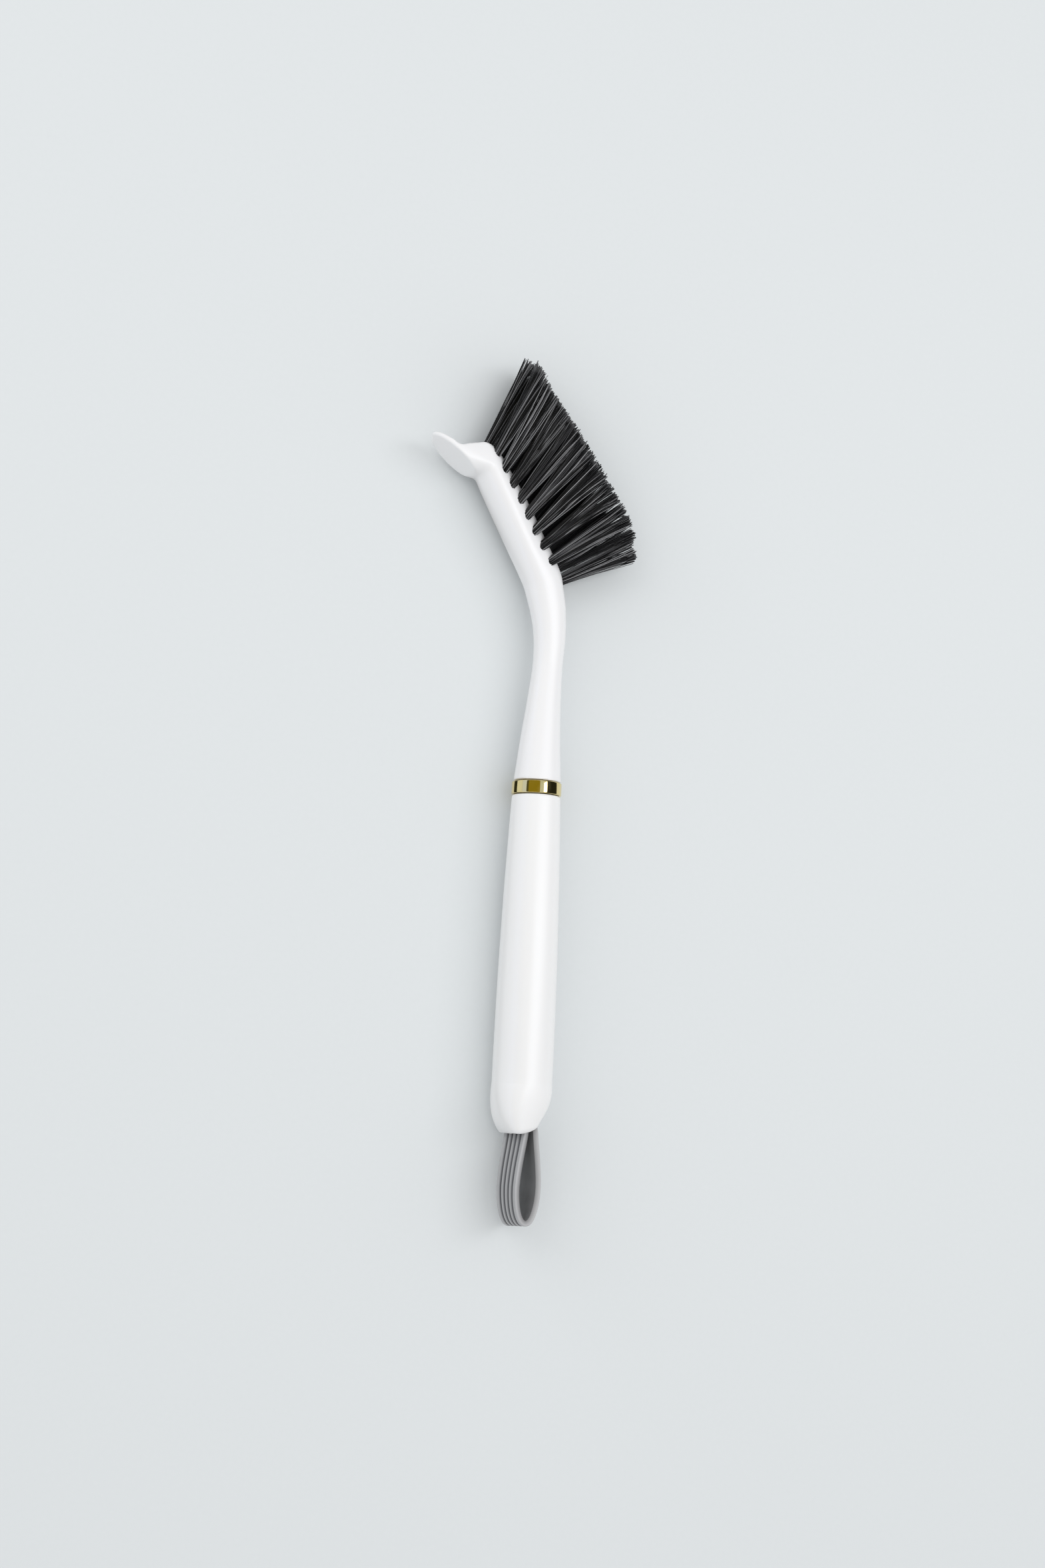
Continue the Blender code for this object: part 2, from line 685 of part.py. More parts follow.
def loop_tail():
    """Moulded tail of the strap with barbs that grip the slot."""
    start = tail_start()
    half = TAIL_THICKNESS / 2
    step = (TAIL_LENGTH - TAIL_PLAIN - TAIL_CHAMFER) / TAIL_BARBS
    side = [(half, 0.0), (half, TAIL_PLAIN)]
    for barb in range(TAIL_BARBS):
        low = TAIL_PLAIN + step * barb
        side += [(half + TAIL_BARB, low + TAIL_BARB_STEP * step), (half, low + step)]
    side.append((half - TAIL_CHAMFER, TAIL_LENGTH))
    outline = side + [(-x, y) for x, y in reversed(side)]
    shape = bmesh.new()
    verts = [shape.verts.new((PIVOT.x + x, start + y, -STRAP_WIDTH / 2)) for x, y in outline]
    face = shape.faces.new(verts)
    grown = bmesh.ops.extrude_face_region(shape, geom=[face])
    lifted = [item for item in grown["geom"] if isinstance(item, bmesh.types.BMVert)]
    bmesh.ops.translate(shape, vec=(0.0, 0.0, STRAP_WIDTH), verts=lifted)
    return shape


def centre_on_footprint(frame, parts):
    """Moves the carrying empty so that the origin is under the middle of the brush."""
    bpy.context.view_layer.update()
    depsgraph = bpy.context.evaluated_depsgraph_get()
    low = Vector((math.inf, math.inf, math.inf))
    high = -low
    for item in parts:
        seen = item.evaluated_get(depsgraph)
        for corner in seen.data.vertices:
            place = seen.matrix_world @ corner.co
            low = Vector(map(min, low, place))
            high = Vector(map(max, high, place))
    frame.location = (-(low.x + high.x) / 2, -(low.y + high.y) / 2, -low.z)


def build():
    clear_scene()
    frame = bpy.data.objects.new("brush_frame", None)
    bpy.context.collection.objects.link(frame)
    pivot = bpy.data.objects.new("loop_pivot", None)
    bpy.context.collection.objects.link(pivot)
    pivot.parent = frame
    pivot.location = PIVOT

    white = plastic("white_plastic", (0.86, 0.86, 0.87), 0.35)
    shell = plastic("handle_plastic", (0.86, 0.86, 0.87), 0.35)
    gold = plastic("gold_plate", (0.83, 0.62, 0.22), 0.12, 1.0)
    nylon = plastic("charcoal_nylon", (0.02, 0.02, 0.022), 0.45)
    steel = plastic("anchor_steel", (0.6, 0.6, 0.6), 0.3, 1.0)
    silicone = plastic("grey_silicone", (0.13, 0.13, 0.135), 0.5)
    tail_silicone = plastic("tail_silicone", (0.13, 0.13, 0.135), 0.5)

    places = tuft_places()
    frames = [tuft_frame(along, side) for name, along, side in places]

    shape = bmesh.new()
    end = SPINE[-1][0]
    loft(shape, [head_section(end * step / HEAD_STATIONS) for step in range(HEAD_STATIONS + 1)])
    head = add_object("head_and_neck", mesh_from("head_and_neck", shape), white, frame)
    cut(head, guide("scraper_blade", scraper_blade(), frame), "UNION")
    cut(head, guide("tang", tang(), frame), "UNION")
    cut(head, guide("tang_ribs", tang_ribs(), frame), "UNION")
    cut(head, guide("tuft_drill", drill(frames), frame))

    ring = add_object("collar_ring", mesh_from("collar_ring", collar_ring()), gold, frame)

    handle = add_object("handle", mesh_from("handle", handle_body()), shell, frame)
    cut(handle, guide("handle_bore", handle_bore(), frame))
    cut(handle, guide("slot_and_mouth", slot_and_mouth(), frame))

    window = fold_window(frame)
    usual = tuft_mesh("bundle", TUFT_FREE_LENGTH, window)
    odd = {
        "tip": tuft_mesh("tip_bundle", TIP_TUFT_FREE_LENGTH, window),
        places[-1][0]: tuft_mesh("neck_bundle", NECK_TUFT_FREE_LENGTH, window),
    }
    staple = anchor_mesh()
    filling = []
    for (name, along, side), place in zip(places, frames):
        for item in (add_object("tuft_" + name, odd.get(name, usual), nylon, frame),
                     add_object("anchor_" + name, staple, steel, frame)):
            item.matrix_local = place
            filling.append(item)

    band = loop_band()
    band.transform(Matrix.Translation(-PIVOT))
    loop = add_object("hanging_loop", mesh_from("hanging_loop", band), silicone, pivot)
    cut(loop, guide("loop_root", loop_root(), frame), "UNION")
    tail = add_object("loop_tail", mesh_from("loop_tail", loop_tail()), tail_silicone, frame)

    centre_on_footprint(frame, [head, ring, handle, loop, tail] + filling)


build()
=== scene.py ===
"""Sink brush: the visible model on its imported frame, with its finishes, light and camera.

Handle axis along Y, head towards +Y, bristles towards +X. Design places are measured from the
middle of the collar ring.
"""

import json
import math
import random

import bmesh
import bpy
from mathutils import Matrix, Vector

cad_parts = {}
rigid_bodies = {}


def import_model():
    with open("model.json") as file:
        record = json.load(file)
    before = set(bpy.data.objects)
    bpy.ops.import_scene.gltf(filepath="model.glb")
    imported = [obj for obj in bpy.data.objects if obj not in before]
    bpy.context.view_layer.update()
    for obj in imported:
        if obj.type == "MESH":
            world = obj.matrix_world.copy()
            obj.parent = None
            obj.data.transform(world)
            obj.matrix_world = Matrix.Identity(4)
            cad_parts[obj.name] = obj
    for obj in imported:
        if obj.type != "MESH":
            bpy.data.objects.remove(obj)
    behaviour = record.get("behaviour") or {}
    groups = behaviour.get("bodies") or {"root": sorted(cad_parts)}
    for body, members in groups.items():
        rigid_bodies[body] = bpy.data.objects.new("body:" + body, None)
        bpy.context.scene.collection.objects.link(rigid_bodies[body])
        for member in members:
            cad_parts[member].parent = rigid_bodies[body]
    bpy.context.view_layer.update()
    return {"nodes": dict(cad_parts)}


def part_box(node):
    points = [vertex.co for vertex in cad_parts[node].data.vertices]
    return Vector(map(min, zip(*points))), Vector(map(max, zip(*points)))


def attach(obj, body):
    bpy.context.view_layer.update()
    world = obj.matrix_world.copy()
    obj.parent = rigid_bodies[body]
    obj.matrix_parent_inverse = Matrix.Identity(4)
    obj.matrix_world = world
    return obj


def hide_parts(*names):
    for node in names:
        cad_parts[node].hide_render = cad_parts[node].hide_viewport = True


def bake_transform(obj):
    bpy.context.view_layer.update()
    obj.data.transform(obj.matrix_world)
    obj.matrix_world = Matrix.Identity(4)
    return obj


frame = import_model()

for item in list(bpy.data.objects):
    if item.type in {"LIGHT", "CAMERA"} or item.name.startswith("Cube"):
        bpy.data.objects.remove(item, do_unlink=True)

MM = 0.001
ring_low, ring_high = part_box("collar_ring")
ORIGIN = (ring_low + ring_high) / 2

# Sizes that the solids share
RING_DIAMETER = 16.7 * MM
RING_HEIGHT = 4.2 * MM
GAP = 0.3 * MM
TANG_DIAMETER = 9.6 * MM
TANG_LENGTH = 26.0 * MM
TANG_RIB = 0.6 * MM
HANDLE_LENGTH = 109.8 * MM
HANDLE_THICKNESS = 19.6 * MM
HANDLE_WIDTH = 22.6 * MM
HANDLE_SHOULDER = 16.2 * MM
DOME_LENGTH = 14.5 * MM
DOME_LEAN = 0.5 * MM
DOME_END_THICKNESS = 9.6 * MM
DOME_END_WIDTH = 17.2 * MM
DOME_END_SLANT = math.radians(16.0)
DOME_END_SQUARENESS = 3.4
NECK_PATH = (
    (0.1, 2.4), (0.4, 15.0), (1.1, 30.0), (1.75, 42.0), (2.0, 50.0), (1.65, 56.0), (0.75, 61.9),
    (-0.6, 67.2),
)
NECK_ROOT_DIAMETER = 16.1 * MM
NECK_DIAMETER = 10.1 * MM
HEAD_BASE = (-2.1, 71.7)
HEAD_LEAN = math.radians(29.4)
HEAD_LENGTH = 51.2 * MM
HEAD_WIDTH = 16.0 * MM
HEAD_DEPTH = 12.6 * MM
WIDEST_DROP = 1.0 * MM
CROWN_POWER = 1.5
SCRAPER_LENGTH = 20.8 * MM
SCRAPER_WIDTH = 16.4 * MM
SCRAPER_WIDEST = 0.435
SCRAPER_THICKNESS = 4.6 * MM
SCRAPER_TIP_THICKNESS = 1.5 * MM
SCRAPER_EDGE = 0.6 * MM
SCRAPER_LEAN = math.radians(52.0)
SCRAPER_SET_BACK = 11.6 * MM
SCRAPER_BEHIND = 6.7 * MM
TUFT_PITCH = 5.8 * MM
TUFT_FREE_LENGTH = 31.4 * MM
TIP_TUFT_FREE_LENGTH = 34.2 * MM
HOLE_DEPTH = 5.5 * MM
HOLE_RADIUS = 1.4 * MM
SIDE_ROW_COUNT = 8
SIDE_ROW_START = HEAD_LENGTH - 6.8 * MM
SIDE_ROW_INSET = 1.9 * MM
SIDE_ROW_SPLAY = math.radians(5.5)
MIDDLE_ROW_COUNT = SIDE_ROW_COUNT
NECK_TUFT_PLACES = (0.8 * MM, -3.4 * MM)
LEAN_AT_TIP = math.radians(34.0)
STRAP_WIDTH = 13.8 * MM
STRAP_THICKNESS = 1.15 * MM
STRAP_RIB_HEIGHT = 0.6 * MM
STRAP_RIBS = 5
STRAP_OFFSET = 0.5 * MM
STRAP_TWIST = math.radians(6.0)
LOOP_PIVOT_DEPTH = 0.8 * MM
LOOP_ROOT_DIAMETER = 5.0 * MM
LOOP_LENGTH = 30.45 * MM
LOOP_EYE_WIDTH = 5.9 * MM
LOOP_BOTTOM_LENGTH = 11.2 * MM
TAIL_LENGTH = 13.0 * MM
SLOT_THICKNESS = 5.0 * MM
SLOT_CORNER = 0.5 * MM
MOUTH_THICKNESS = 8.2 * MM
MOUTH_WIDTH = 15.0 * MM
MOUTH_CORNER = 1.8 * MM
MOUTH_MIDDLE = -0.3 * MM

# Sizes where the visible model departs from the solids, to follow the photograph
SCRAPER_THINNING = 1.8
WEB_REACH = 12.0 * MM
WEB_LENGTH = 9.0 * MM
NOSE_TRIM = 2.0 * MM
NECK_TUFT_FREE_LENGTH = 30.0 * MM
TIP_TUFT_PLACE = HEAD_LENGTH - 3.0 * MM

RING_TOP = RING_HEIGHT / 2
HANDLE_START_Y = -RING_TOP - GAP
HANDLE_END_Y = HANDLE_START_Y - HANDLE_LENGTH
PIVOT = Vector((STRAP_OFFSET, HANDLE_END_Y + LOOP_PIVOT_DEPTH, 0.0))
ALONG = Vector((-math.sin(HEAD_LEAN), math.cos(HEAD_LEAN), 0.0))
OUT = Vector((math.cos(HEAD_LEAN), math.sin(HEAD_LEAN), 0.0))
SIDE = Vector((0.0, 0.0, 1.0))


# Building helpers

def finish_mesh(name, shape, smooth_angle=35.0):
    """Closes a bmesh into an object that stands in its place on the frame."""
    bmesh.ops.recalc_face_normals(shape, faces=shape.faces)
    mesh = bpy.data.meshes.new(name)
    shape.to_mesh(mesh)
    shape.free()
    mesh.transform(Matrix.Translation(ORIGIN))
    mesh.shade_smooth()
    mesh.set_sharp_from_angle(angle=math.radians(smooth_angle))
    item = bpy.data.objects.new(name, mesh)
    bpy.context.scene.collection.objects.link(item)
    return item


def settle(item, smooth_angle=60.0):
    """Takes an object's modifiers into its mesh."""
    bpy.context.view_layer.update()
    seen = item.evaluated_get(bpy.context.evaluated_depsgraph_get())
    mesh = bpy.data.meshes.new_from_object(seen)
    item.modifiers.clear()
    item.data = mesh
    mesh.name = item.name
    mesh.shade_smooth()
    mesh.set_sharp_from_angle(angle=math.radians(smooth_angle))


def skin(rows, sides, place, relief=None):
    """A grid bent round into a tube by place(row, side), with its seam merged and its ends closed.

    relief(row, side), where given, is kept on the points for the finish to read.
    """
    shape = bmesh.new()
    bmesh.ops.create_grid(shape, x_segments=rows, y_segments=sides, size=0.5)
    kept = shape.verts.layers.float.new("relief") if relief else None
    for vert in shape.verts:
        row = round((vert.co.x + 0.5) * rows)
        side = round((vert.co.y + 0.5) * sides) % sides
        vert.co = place(row, side)
        if relief:
            vert[kept] = relief(row, side)
    bmesh.ops.remove_doubles(shape, verts=shape.verts, dist=1e-6)
    rims = [edge for edge in shape.edges if edge.is_boundary]
    bmesh.ops.holes_fill(shape, edges=rims, sides=0)
    return shape


def smooth_through(keys, place):
    """Value at a place on the smooth curve through keys of (place, value, value...)."""
    last = len(keys) - 1
    index = 0
    while index < last - 1 and place > keys[index + 1][0]:
        index += 1
    start, end = keys[index], keys[index + 1]
    before = keys[max(index - 1, 0)]
    after = keys[min(index + 2, last)]
    span = end[0] - start[0]
    u = (place - start[0]) / span
    blended = []
    for low, v0, v1, high in zip(before[1:], start[1:], end[1:], after[1:]):
        slope_in = (v1 - low) / (end[0] - before[0])
        slope_out = (high - v0) / (after[0] - start[0])
        blended.append(
            (2 * u ** 3 - 3 * u ** 2 + 1) * v0 + (u ** 3 - 2 * u ** 2 + u) * span * slope_in
            + (3 * u ** 2 - 2 * u ** 3) * v1 + (u ** 3 - u ** 2) * span * slope_out
        )
    return blended


# Head, neck and scraper

def spine_keys():
    """Keys of (length along the middle line, X, Y) from the ring to the head's tip."""
    places = [Vector((x * MM, y * MM, 0.0)) for x, y in NECK_PATH]
    base = Vector((HEAD_BASE[0] * MM, HEAD_BASE[1] * MM, 0.0))
    for share in (0.0, 0.25, 0.55, 0.85, 1.0):
        places.append(base + ALONG * HEAD_LENGTH * share)
    keys = []
    travelled = 0.0
    previous = places[0]
    for place in places:
        travelled += (place - previous).length
        keys.append((travelled, place.x, place.y))
        previous = place
    return keys


SPINE = spine_keys()
HEAD_PLACE = SPINE[len(NECK_PATH)][0]


def head_keys():
    """Keys of (length, back, crown, half width, drop of the widest level, power) along the spine."""
    root = NECK_ROOT_DIAMETER / 2
    slim = NECK_DIAMETER / 2
    deep = HEAD_DEPTH / 2
    wide = HEAD_WIDTH / 2
    keys = []
    for index, thinned in enumerate((0.05, 0.40, 0.79, 1.0)):
        radius = root + (slim - root) * thinned
        keys.append((SPINE[index][0], radius, radius, radius, 0.0, 2.0))
    for index, deep_share, wide_share in (
            (4, 1.05, 1.06), (5, 1.12, 1.14), (6, 1.21, 1.22), (7, 1.27, 1.31)):
        keys.append((SPINE[index][0], slim * deep_share, slim * deep_share, slim * wide_share, 0.0, 2.0))
    for share, back, crown, half, drop, power in (
            (0.0, 1.03, 1.10, 0.88, 0.4, 1.9), (0.235, 0.985, 1.15, 0.955, 0.9, CROWN_POWER),
            (0.53, 0.975, 1.11, 1.0, 1.0, CROWN_POWER), (0.74, 0.955, 0.93, 0.985, 1.0, CROWN_POWER),
            (0.855, 0.89, 0.77, 0.91, 0.8, 1.7), (0.93, 0.76, 0.48, 0.75, 0.4, 1.9),
            (1.0, 0.48, 0.08, 0.37, 0.0, 2.0)):
        keys.append((HEAD_PLACE + share * HEAD_LENGTH, deep * back, deep * crown, wide * half,
                     WIDEST_DROP * drop, power))
    return keys


HEAD_SHAPE = head_keys()
HEAD_SIDES = 112
HEAD_ROWS = 190
SPINE_STEP = 0.2 * MM
SCRAPER_SIDES = 96
HEAD_SKIN_SIZE = 0.32 * MM
CREASE_ANGLE = math.radians(14.0)
HOLE_OVERSHOOT = 4.0 * MM
HOLE_SIDES = 28


def head_place(row, side):
    """Point of the neck and head, row by row from the ring to the tip."""
    length = (SPINE[-1][0] - NOSE_TRIM) * row / HEAD_ROWS
    x, y = smooth_through(SPINE, length)
    x0, y0 = smooth_through(SPINE, max(length - SPINE_STEP, SPINE[0][0]))
    x1, y1 = smooth_through(SPINE, min(length + SPINE_STEP, SPINE[-1][0]))
    along = Vector((x1 - x0, y1 - y0, 0.0)).normalized()
    out = Vector((along.y, -along.x, 0.0))
    back, crown, half, drop, power = smooth_through(HEAD_SHAPE, length)
    angle = 2.0 * math.pi * side / HEAD_SIDES
    cosine = math.cos(angle)
    sine = math.sin(angle)
    if cosine > 0.0:
        reach = (crown + drop) * cosine ** (2.0 / power) - drop
        wide = math.copysign(abs(sine) ** (2.0 / power), sine) * half
    else:
        reach = (back - drop) * cosine - drop
        wide = sine * half
    return Vector((x, y, 0.0)) + out * reach + SIDE * wide


def crown_point(along, side):
    """Point of the crowned face at a place along the head and beside its middle."""
    _, crown, half, drop, power = smooth_through(HEAD_SHAPE, HEAD_PLACE + along)
    x, y = smooth_through(SPINE, HEAD_PLACE + along)
    rise = (crown + drop) * (1.0 - (abs(side) / half) ** power) ** (1.0 / power) - drop
    return Vector((x, y, 0.0)) + OUT * rise + SIDE * side


def scraper_axis():
    """Where the blade starts, which way it points and which way it faces the bristles."""
    start = Vector((HEAD_BASE[0] * MM, HEAD_BASE[1] * MM, 0.0))
    start += ALONG * (HEAD_LENGTH - SCRAPER_SET_BACK) - OUT * SCRAPER_BEHIND
    direction = Vector((-math.sin(SCRAPER_LEAN), math.cos(SCRAPER_LEAN), 0.0))
    inward = Vector((math.cos(SCRAPER_LEAN), math.sin(SCRAPER_LEAN), 0.0))
    return start, direction, inward


def scraper_blade():
    """Leaf-shaped plate with a flat outer face and rounded rims, thickest where it leaves the head."""
    start, direction, inward = scraper_axis()
    widest = SCRAPER_LENGTH * SCRAPER_WIDEST
    shape = bmesh.new()
    made = bmesh.ops.create_circle(shape, cap_ends=True, segments=SCRAPER_SIDES, radius=1.0)
    for vert in made["verts"]:
        reach = SCRAPER_LENGTH - widest if vert.co.x > 0.0 else widest
        place = widest + reach * vert.co.x
        vert.co = start + direction * place + SIDE * SCRAPER_WIDTH / 2 * vert.co.y
    grown = bmesh.ops.extrude_face_region(shape, geom=list(shape.faces))
    for vert in (item for item in grown["geom"] if isinstance(item, bmesh.types.BMVert)):
        share = min((vert.co - start).dot(direction) / SCRAPER_LENGTH, 1.0)
        thicker = (SCRAPER_THICKNESS - SCRAPER_TIP_THICKNESS) * (1.0 - share) ** SCRAPER_THINNING
        vert.co += inward * (SCRAPER_TIP_THICKNESS + thicker)
    bmesh.ops.recalc_face_normals(shape, faces=shape.faces)
    rims = [edge for edge in shape.edges if edge.calc_face_angle(0.0) > math.radians(50.0)]
    bmesh.ops.bevel(
        shape, geom=rims, offset=SCRAPER_EDGE, segments=4, profile=0.5, affect="EDGES",
        material=-1,
    )
    return shape


def scraper_web(blade):
    """Wedge that fills the corner between the blade and the head's end, drawn tight round both."""
    start, direction, _ = scraper_axis()
    web = bmesh.new()
    for vert in blade.verts:
        if (vert.co - start).dot(direction) < WEB_REACH:
            web.verts.new(vert.co)
    first_row = round(HEAD_ROWS * (1.0 - WEB_LENGTH / SPINE[-1][0]))
    for row in range(first_row, HEAD_ROWS + 1, 2):
        for side in range(HEAD_SIDES // 4 - 4, 3 * HEAD_SIDES // 4 + 5, 2):
            web.verts.new(head_place(row, side))
    hull = bmesh.ops.convex_hull(web, input=web.verts)
    inside = {item for item in hull["geom_interior"] + hull["geom_unused"]
              if isinstance(item, bmesh.types.BMVert)}
    bmesh.ops.delete(web, geom=list(inside), context="VERTS")
    return web


def tuft_places():
    """Names and places (along, side) of all tufts, row by row."""
    places = [("tip", TIP_TUFT_PLACE, 0.0)]
    for row, sign in (("left", 1.0), ("right", -1.0)):
        for index in range(SIDE_ROW_COUNT):
            along = SIDE_ROW_START - TUFT_PITCH * index
            half = smooth_through(HEAD_SHAPE, HEAD_PLACE + along)[2]
            places.append((f"{row}_{index + 1}", along, sign * (half - SIDE_ROW_INSET)))
    for index in range(MIDDLE_ROW_COUNT - 1):
        places.append((f"middle_{index + 1}", SIDE_ROW_START - TUFT_PITCH * (index + 0.5), 0.0))
    for index, along in enumerate(NECK_TUFT_PLACES):
        places.append((f"middle_{MIDDLE_ROW_COUNT + index}", along, 0.0))
    return places


def tuft_frame(along, side):
    """Matrix that carries a tuft from its own axes to its hole: local Z points out of the hole."""
    share = min(max((along - NECK_TUFT_PLACES[1]) / (TIP_TUFT_PLACE - NECK_TUFT_PLACES[1]), 0.0), 1.0)
    lean = LEAN_AT_TIP * math.sin(share * math.pi / 2)
    splay = SIDE_ROW_SPLAY * side / (HEAD_WIDTH / 2 - SIDE_ROW_INSET)
    direction = (OUT * math.cos(lean) + ALONG * math.sin(lean)) * math.cos(splay)
    direction += SIDE * math.sin(splay)
    across = direction.cross(SIDE).normalized()
    wide = direction.cross(across).normalized()
    turn = Matrix((across, wide, direction)).transposed().to_4x4()
    return Matrix.Translation(crown_point(along, side)) @ turn


def fill_crease(item, rings=10, passes=70):
    """Softens the inside corner between the scraper and the head into a hollow curve."""
    shape = bmesh.new()
    shape.from_mesh(item.data)
    near = ORIGIN.y + HEAD_BASE[1] * MM + 0.5 * HEAD_LENGTH
    crease = {
        vert for edge in shape.edges if edge.calc_face_angle_signed(0.0) < -CREASE_ANGLE
        for vert in edge.verts if vert.co.y > near
    }
    zone = set(crease)
    for _ in range(rings):
        zone |= {edge.other_vert(vert) for vert in zone for edge in vert.link_edges}
    inner = set(crease)
    for _ in range(rings):
        for _ in range(passes // rings):
            bmesh.ops.smooth_vert(
                shape, verts=list(inner), factor=0.5, use_axis_x=True, use_axis_y=True, use_axis_z=True,
            )
        inner |= {edge.other_vert(vert) for vert in inner for edge in vert.link_edges}
    bmesh.ops.smooth_vert(
        shape, verts=list(zone), factor=0.5, use_axis_x=True, use_axis_y=True, use_axis_z=True,
    )
    shape.to_mesh(item.data)
    shape.free()


def head_piece():
    """Head and neck in one moulding: the scraper flows into the head, then the tuft holes are cut."""
    shape = skin(HEAD_ROWS, HEAD_SIDES, head_place)
    blade = scraper_blade()
    for part in (scraper_web(blade), blade):
        carried = bpy.data.meshes.new("blade")
        part.to_mesh(carried)
        part.free()
        shape.from_mesh(carried)
        bpy.data.meshes.remove(carried)
    head = finish_mesh("head_moulding", shape)
    remesh = head.modifiers.new("one_skin", "REMESH")
    remesh.mode = "VOXEL"
    remesh.voxel_size = HEAD_SKIN_SIZE
    ease = head.modifiers.new("flow", "SMOOTH")
    ease.factor = 0.5
    ease.iterations = 5
    settle(head)
    fill_crease(head)
    holes = bmesh.new()
    for _, along, side in tuft_places():
        place = tuft_frame(along, side)
        low, high = -HOLE_DEPTH, HOLE_OVERSHOOT
        bmesh.ops.create_cone(
            holes, cap_ends=True, segments=HOLE_SIDES, radius1=HOLE_RADIUS, radius2=HOLE_RADIUS,
            depth=high - low, matrix=place @ Matrix.Translation((0.0, 0.0, (low + high) / 2)),
        )
    drill = finish_mesh("tuft_drill", holes)
    drill.hide_render = True
    bore = head.modifiers.new("tuft_holes", "BOOLEAN")
    bore.operation = "DIFFERENCE"
    bore.solver = "EXACT"
    bore.object = drill
    settle(head, 40.0)
    bpy.data.objects.remove(drill, do_unlink=True)
    return head


# Ring

RING_SIDES = 160
RING_EDGE = 0.28 * MM


def ring_piece():
    """Turned ring with rounded edges and a bore."""
    outer = RING_DIAMETER / 2
    inner = TANG_DIAMETER / 2 + GAP
    shape = bmesh.new()
    corners = [(inner, RING_TOP), (outer, RING_TOP), (outer, -RING_TOP), (inner, -RING_TOP)]
    verts = [shape.verts.new((radius, y, 0.0)) for radius, y in corners]
    profile = [shape.edges.new((verts[index - 1], verts[index])) for index in range(4)]
    bmesh.ops.spin(
        shape, geom=profile, cent=(0.0, 0.0, 0.0), axis=(0.0, 1.0, 0.0), angle=2.0 * math.pi,
        steps=RING_SIDES, use_merge=True,
    )
    bmesh.ops.remove_doubles(shape, verts=shape.verts, dist=1e-6)
    rims = [
        edge for edge in shape.edges
        if abs(edge.verts[0].co.y - edge.verts[1].co.y) < 1e-7
        and (edge.verts[0].co.xz.length > outer - 1e-5 and edge.verts[1].co.xz.length > outer - 1e-5)
    ]
    bmesh.ops.bevel(
        shape, geom=rims, offset=RING_EDGE, segments=4, profile=0.5, affect="EDGES", material=-1,
    )
    return finish_mesh("gold_ring", shape)


# Handle

HANDLE_SIDES = 128
SOCKET_ROWS = 3
SOCKET_CHAMFER = 0.3 * MM
TOP_EDGE = 0.3 * MM
TOP_EDGE_LENGTH = 0.5 * MM
WIDEST_FROM_END = 1.35 * DOME_LENGTH
STRAIGHT_ROWS = 70
DOME_ROWS = 60
LIP_ROWS = 14
MOUTH_ROWS = 8
LIP_START = 1.3 * MM
LIP_UNEVENNESS = 0.5 * MM
LIP_INSIDE = 0.4 * MM
LIP_STEP = 0.1 * MM
END_CROWN = 1.5 * MM
END_CROWN_MIDDLE = -0.3 * MM
END_CROWN_REACH = 5.6 * MM


def end_crown(x):
    """How far the end face bulges below its slanting plane."""
    return END_CROWN * max(0.0, 1.0 - ((x - END_CROWN_MIDDLE) / END_CROWN_REACH) ** 2)


def rounded_off(full, end, share):
    """Elliptical fall of a half size to what is left of it at the dome's end."""
    return full * math.sqrt(1.0 - (1.0 - min(end / full, 1.0) ** 2) * share ** 2)


def handle_point(depth, angle, inset=0.0):
    """Point of the handle's outside at a depth below the ring and an angle round its axis."""
    slim = HANDLE_SHOULDER / 2
    share = min(depth / (HANDLE_LENGTH - WIDEST_FROM_END), 1.0)
    growth = 1.0 - (1.0 - share) ** 2
    into_dome = max(0.0, (depth - HANDLE_LENGTH + DOME_LENGTH) / DOME_LENGTH)
    thick = slim + (HANDLE_THICKNESS / 2 - slim) * growth
    wide = slim + (HANDLE_WIDTH / 2 - slim) * growth
    thick = rounded_off(thick, DOME_END_THICKNESS / 2, into_dome) - inset
    wide = rounded_off(wide, DOME_END_WIDTH / 2, into_dome) - inset
    power = 2.0 + (DOME_END_SQUARENESS - 2.0) * into_dome
    cosine, sine = math.cos(angle), math.sin(angle)
    radius = ((abs(cosine) / thick) ** power + (abs(sine) / wide) ** power) ** (-1.0 / power)
    x = radius * cosine
    slanted = x * math.tan(DOME_END_SLANT) * into_dome
    y = HANDLE_START_Y - depth + slanted - end_crown(x) * into_dome ** 3
    return Vector((x - DOME_LEAN * into_dome, y, radius * sine))


def oblong(angle, middle, half_thickness, half_width, corner):
    """Point (x, z) of an oblong with round corners, seen from its middle at an angle."""
    cosine, sine = math.cos(angle), math.sin(angle)
    inner_x, inner_z = half_thickness - corner, half_width - corner
    reach = min(half_thickness / max(abs(cosine), 1e-6), half_width / max(abs(sine), 1e-6))
    x, z = reach * cosine, reach * sine
    if abs(x) > inner_x and abs(z) > inner_z:
        # The ray leaves through a round corner
        centre = Vector((math.copysign(inner_x, cosine), math.copysign(inner_z, sine)))
        ray = Vector((cosine, sine))
        nearest = ray.dot(centre)
        spread = math.sqrt(max(corner ** 2 - (centre.length_squared - nearest ** 2), 0.0))
        x, z = ray * (nearest + spread)
    return middle + x, z


def end_level(x):
    """Level of the handle's slanting end face."""
    return HANDLE_END_Y + (x + DOME_LEAN) * math.tan(DOME_END_SLANT) - end_crown(x)


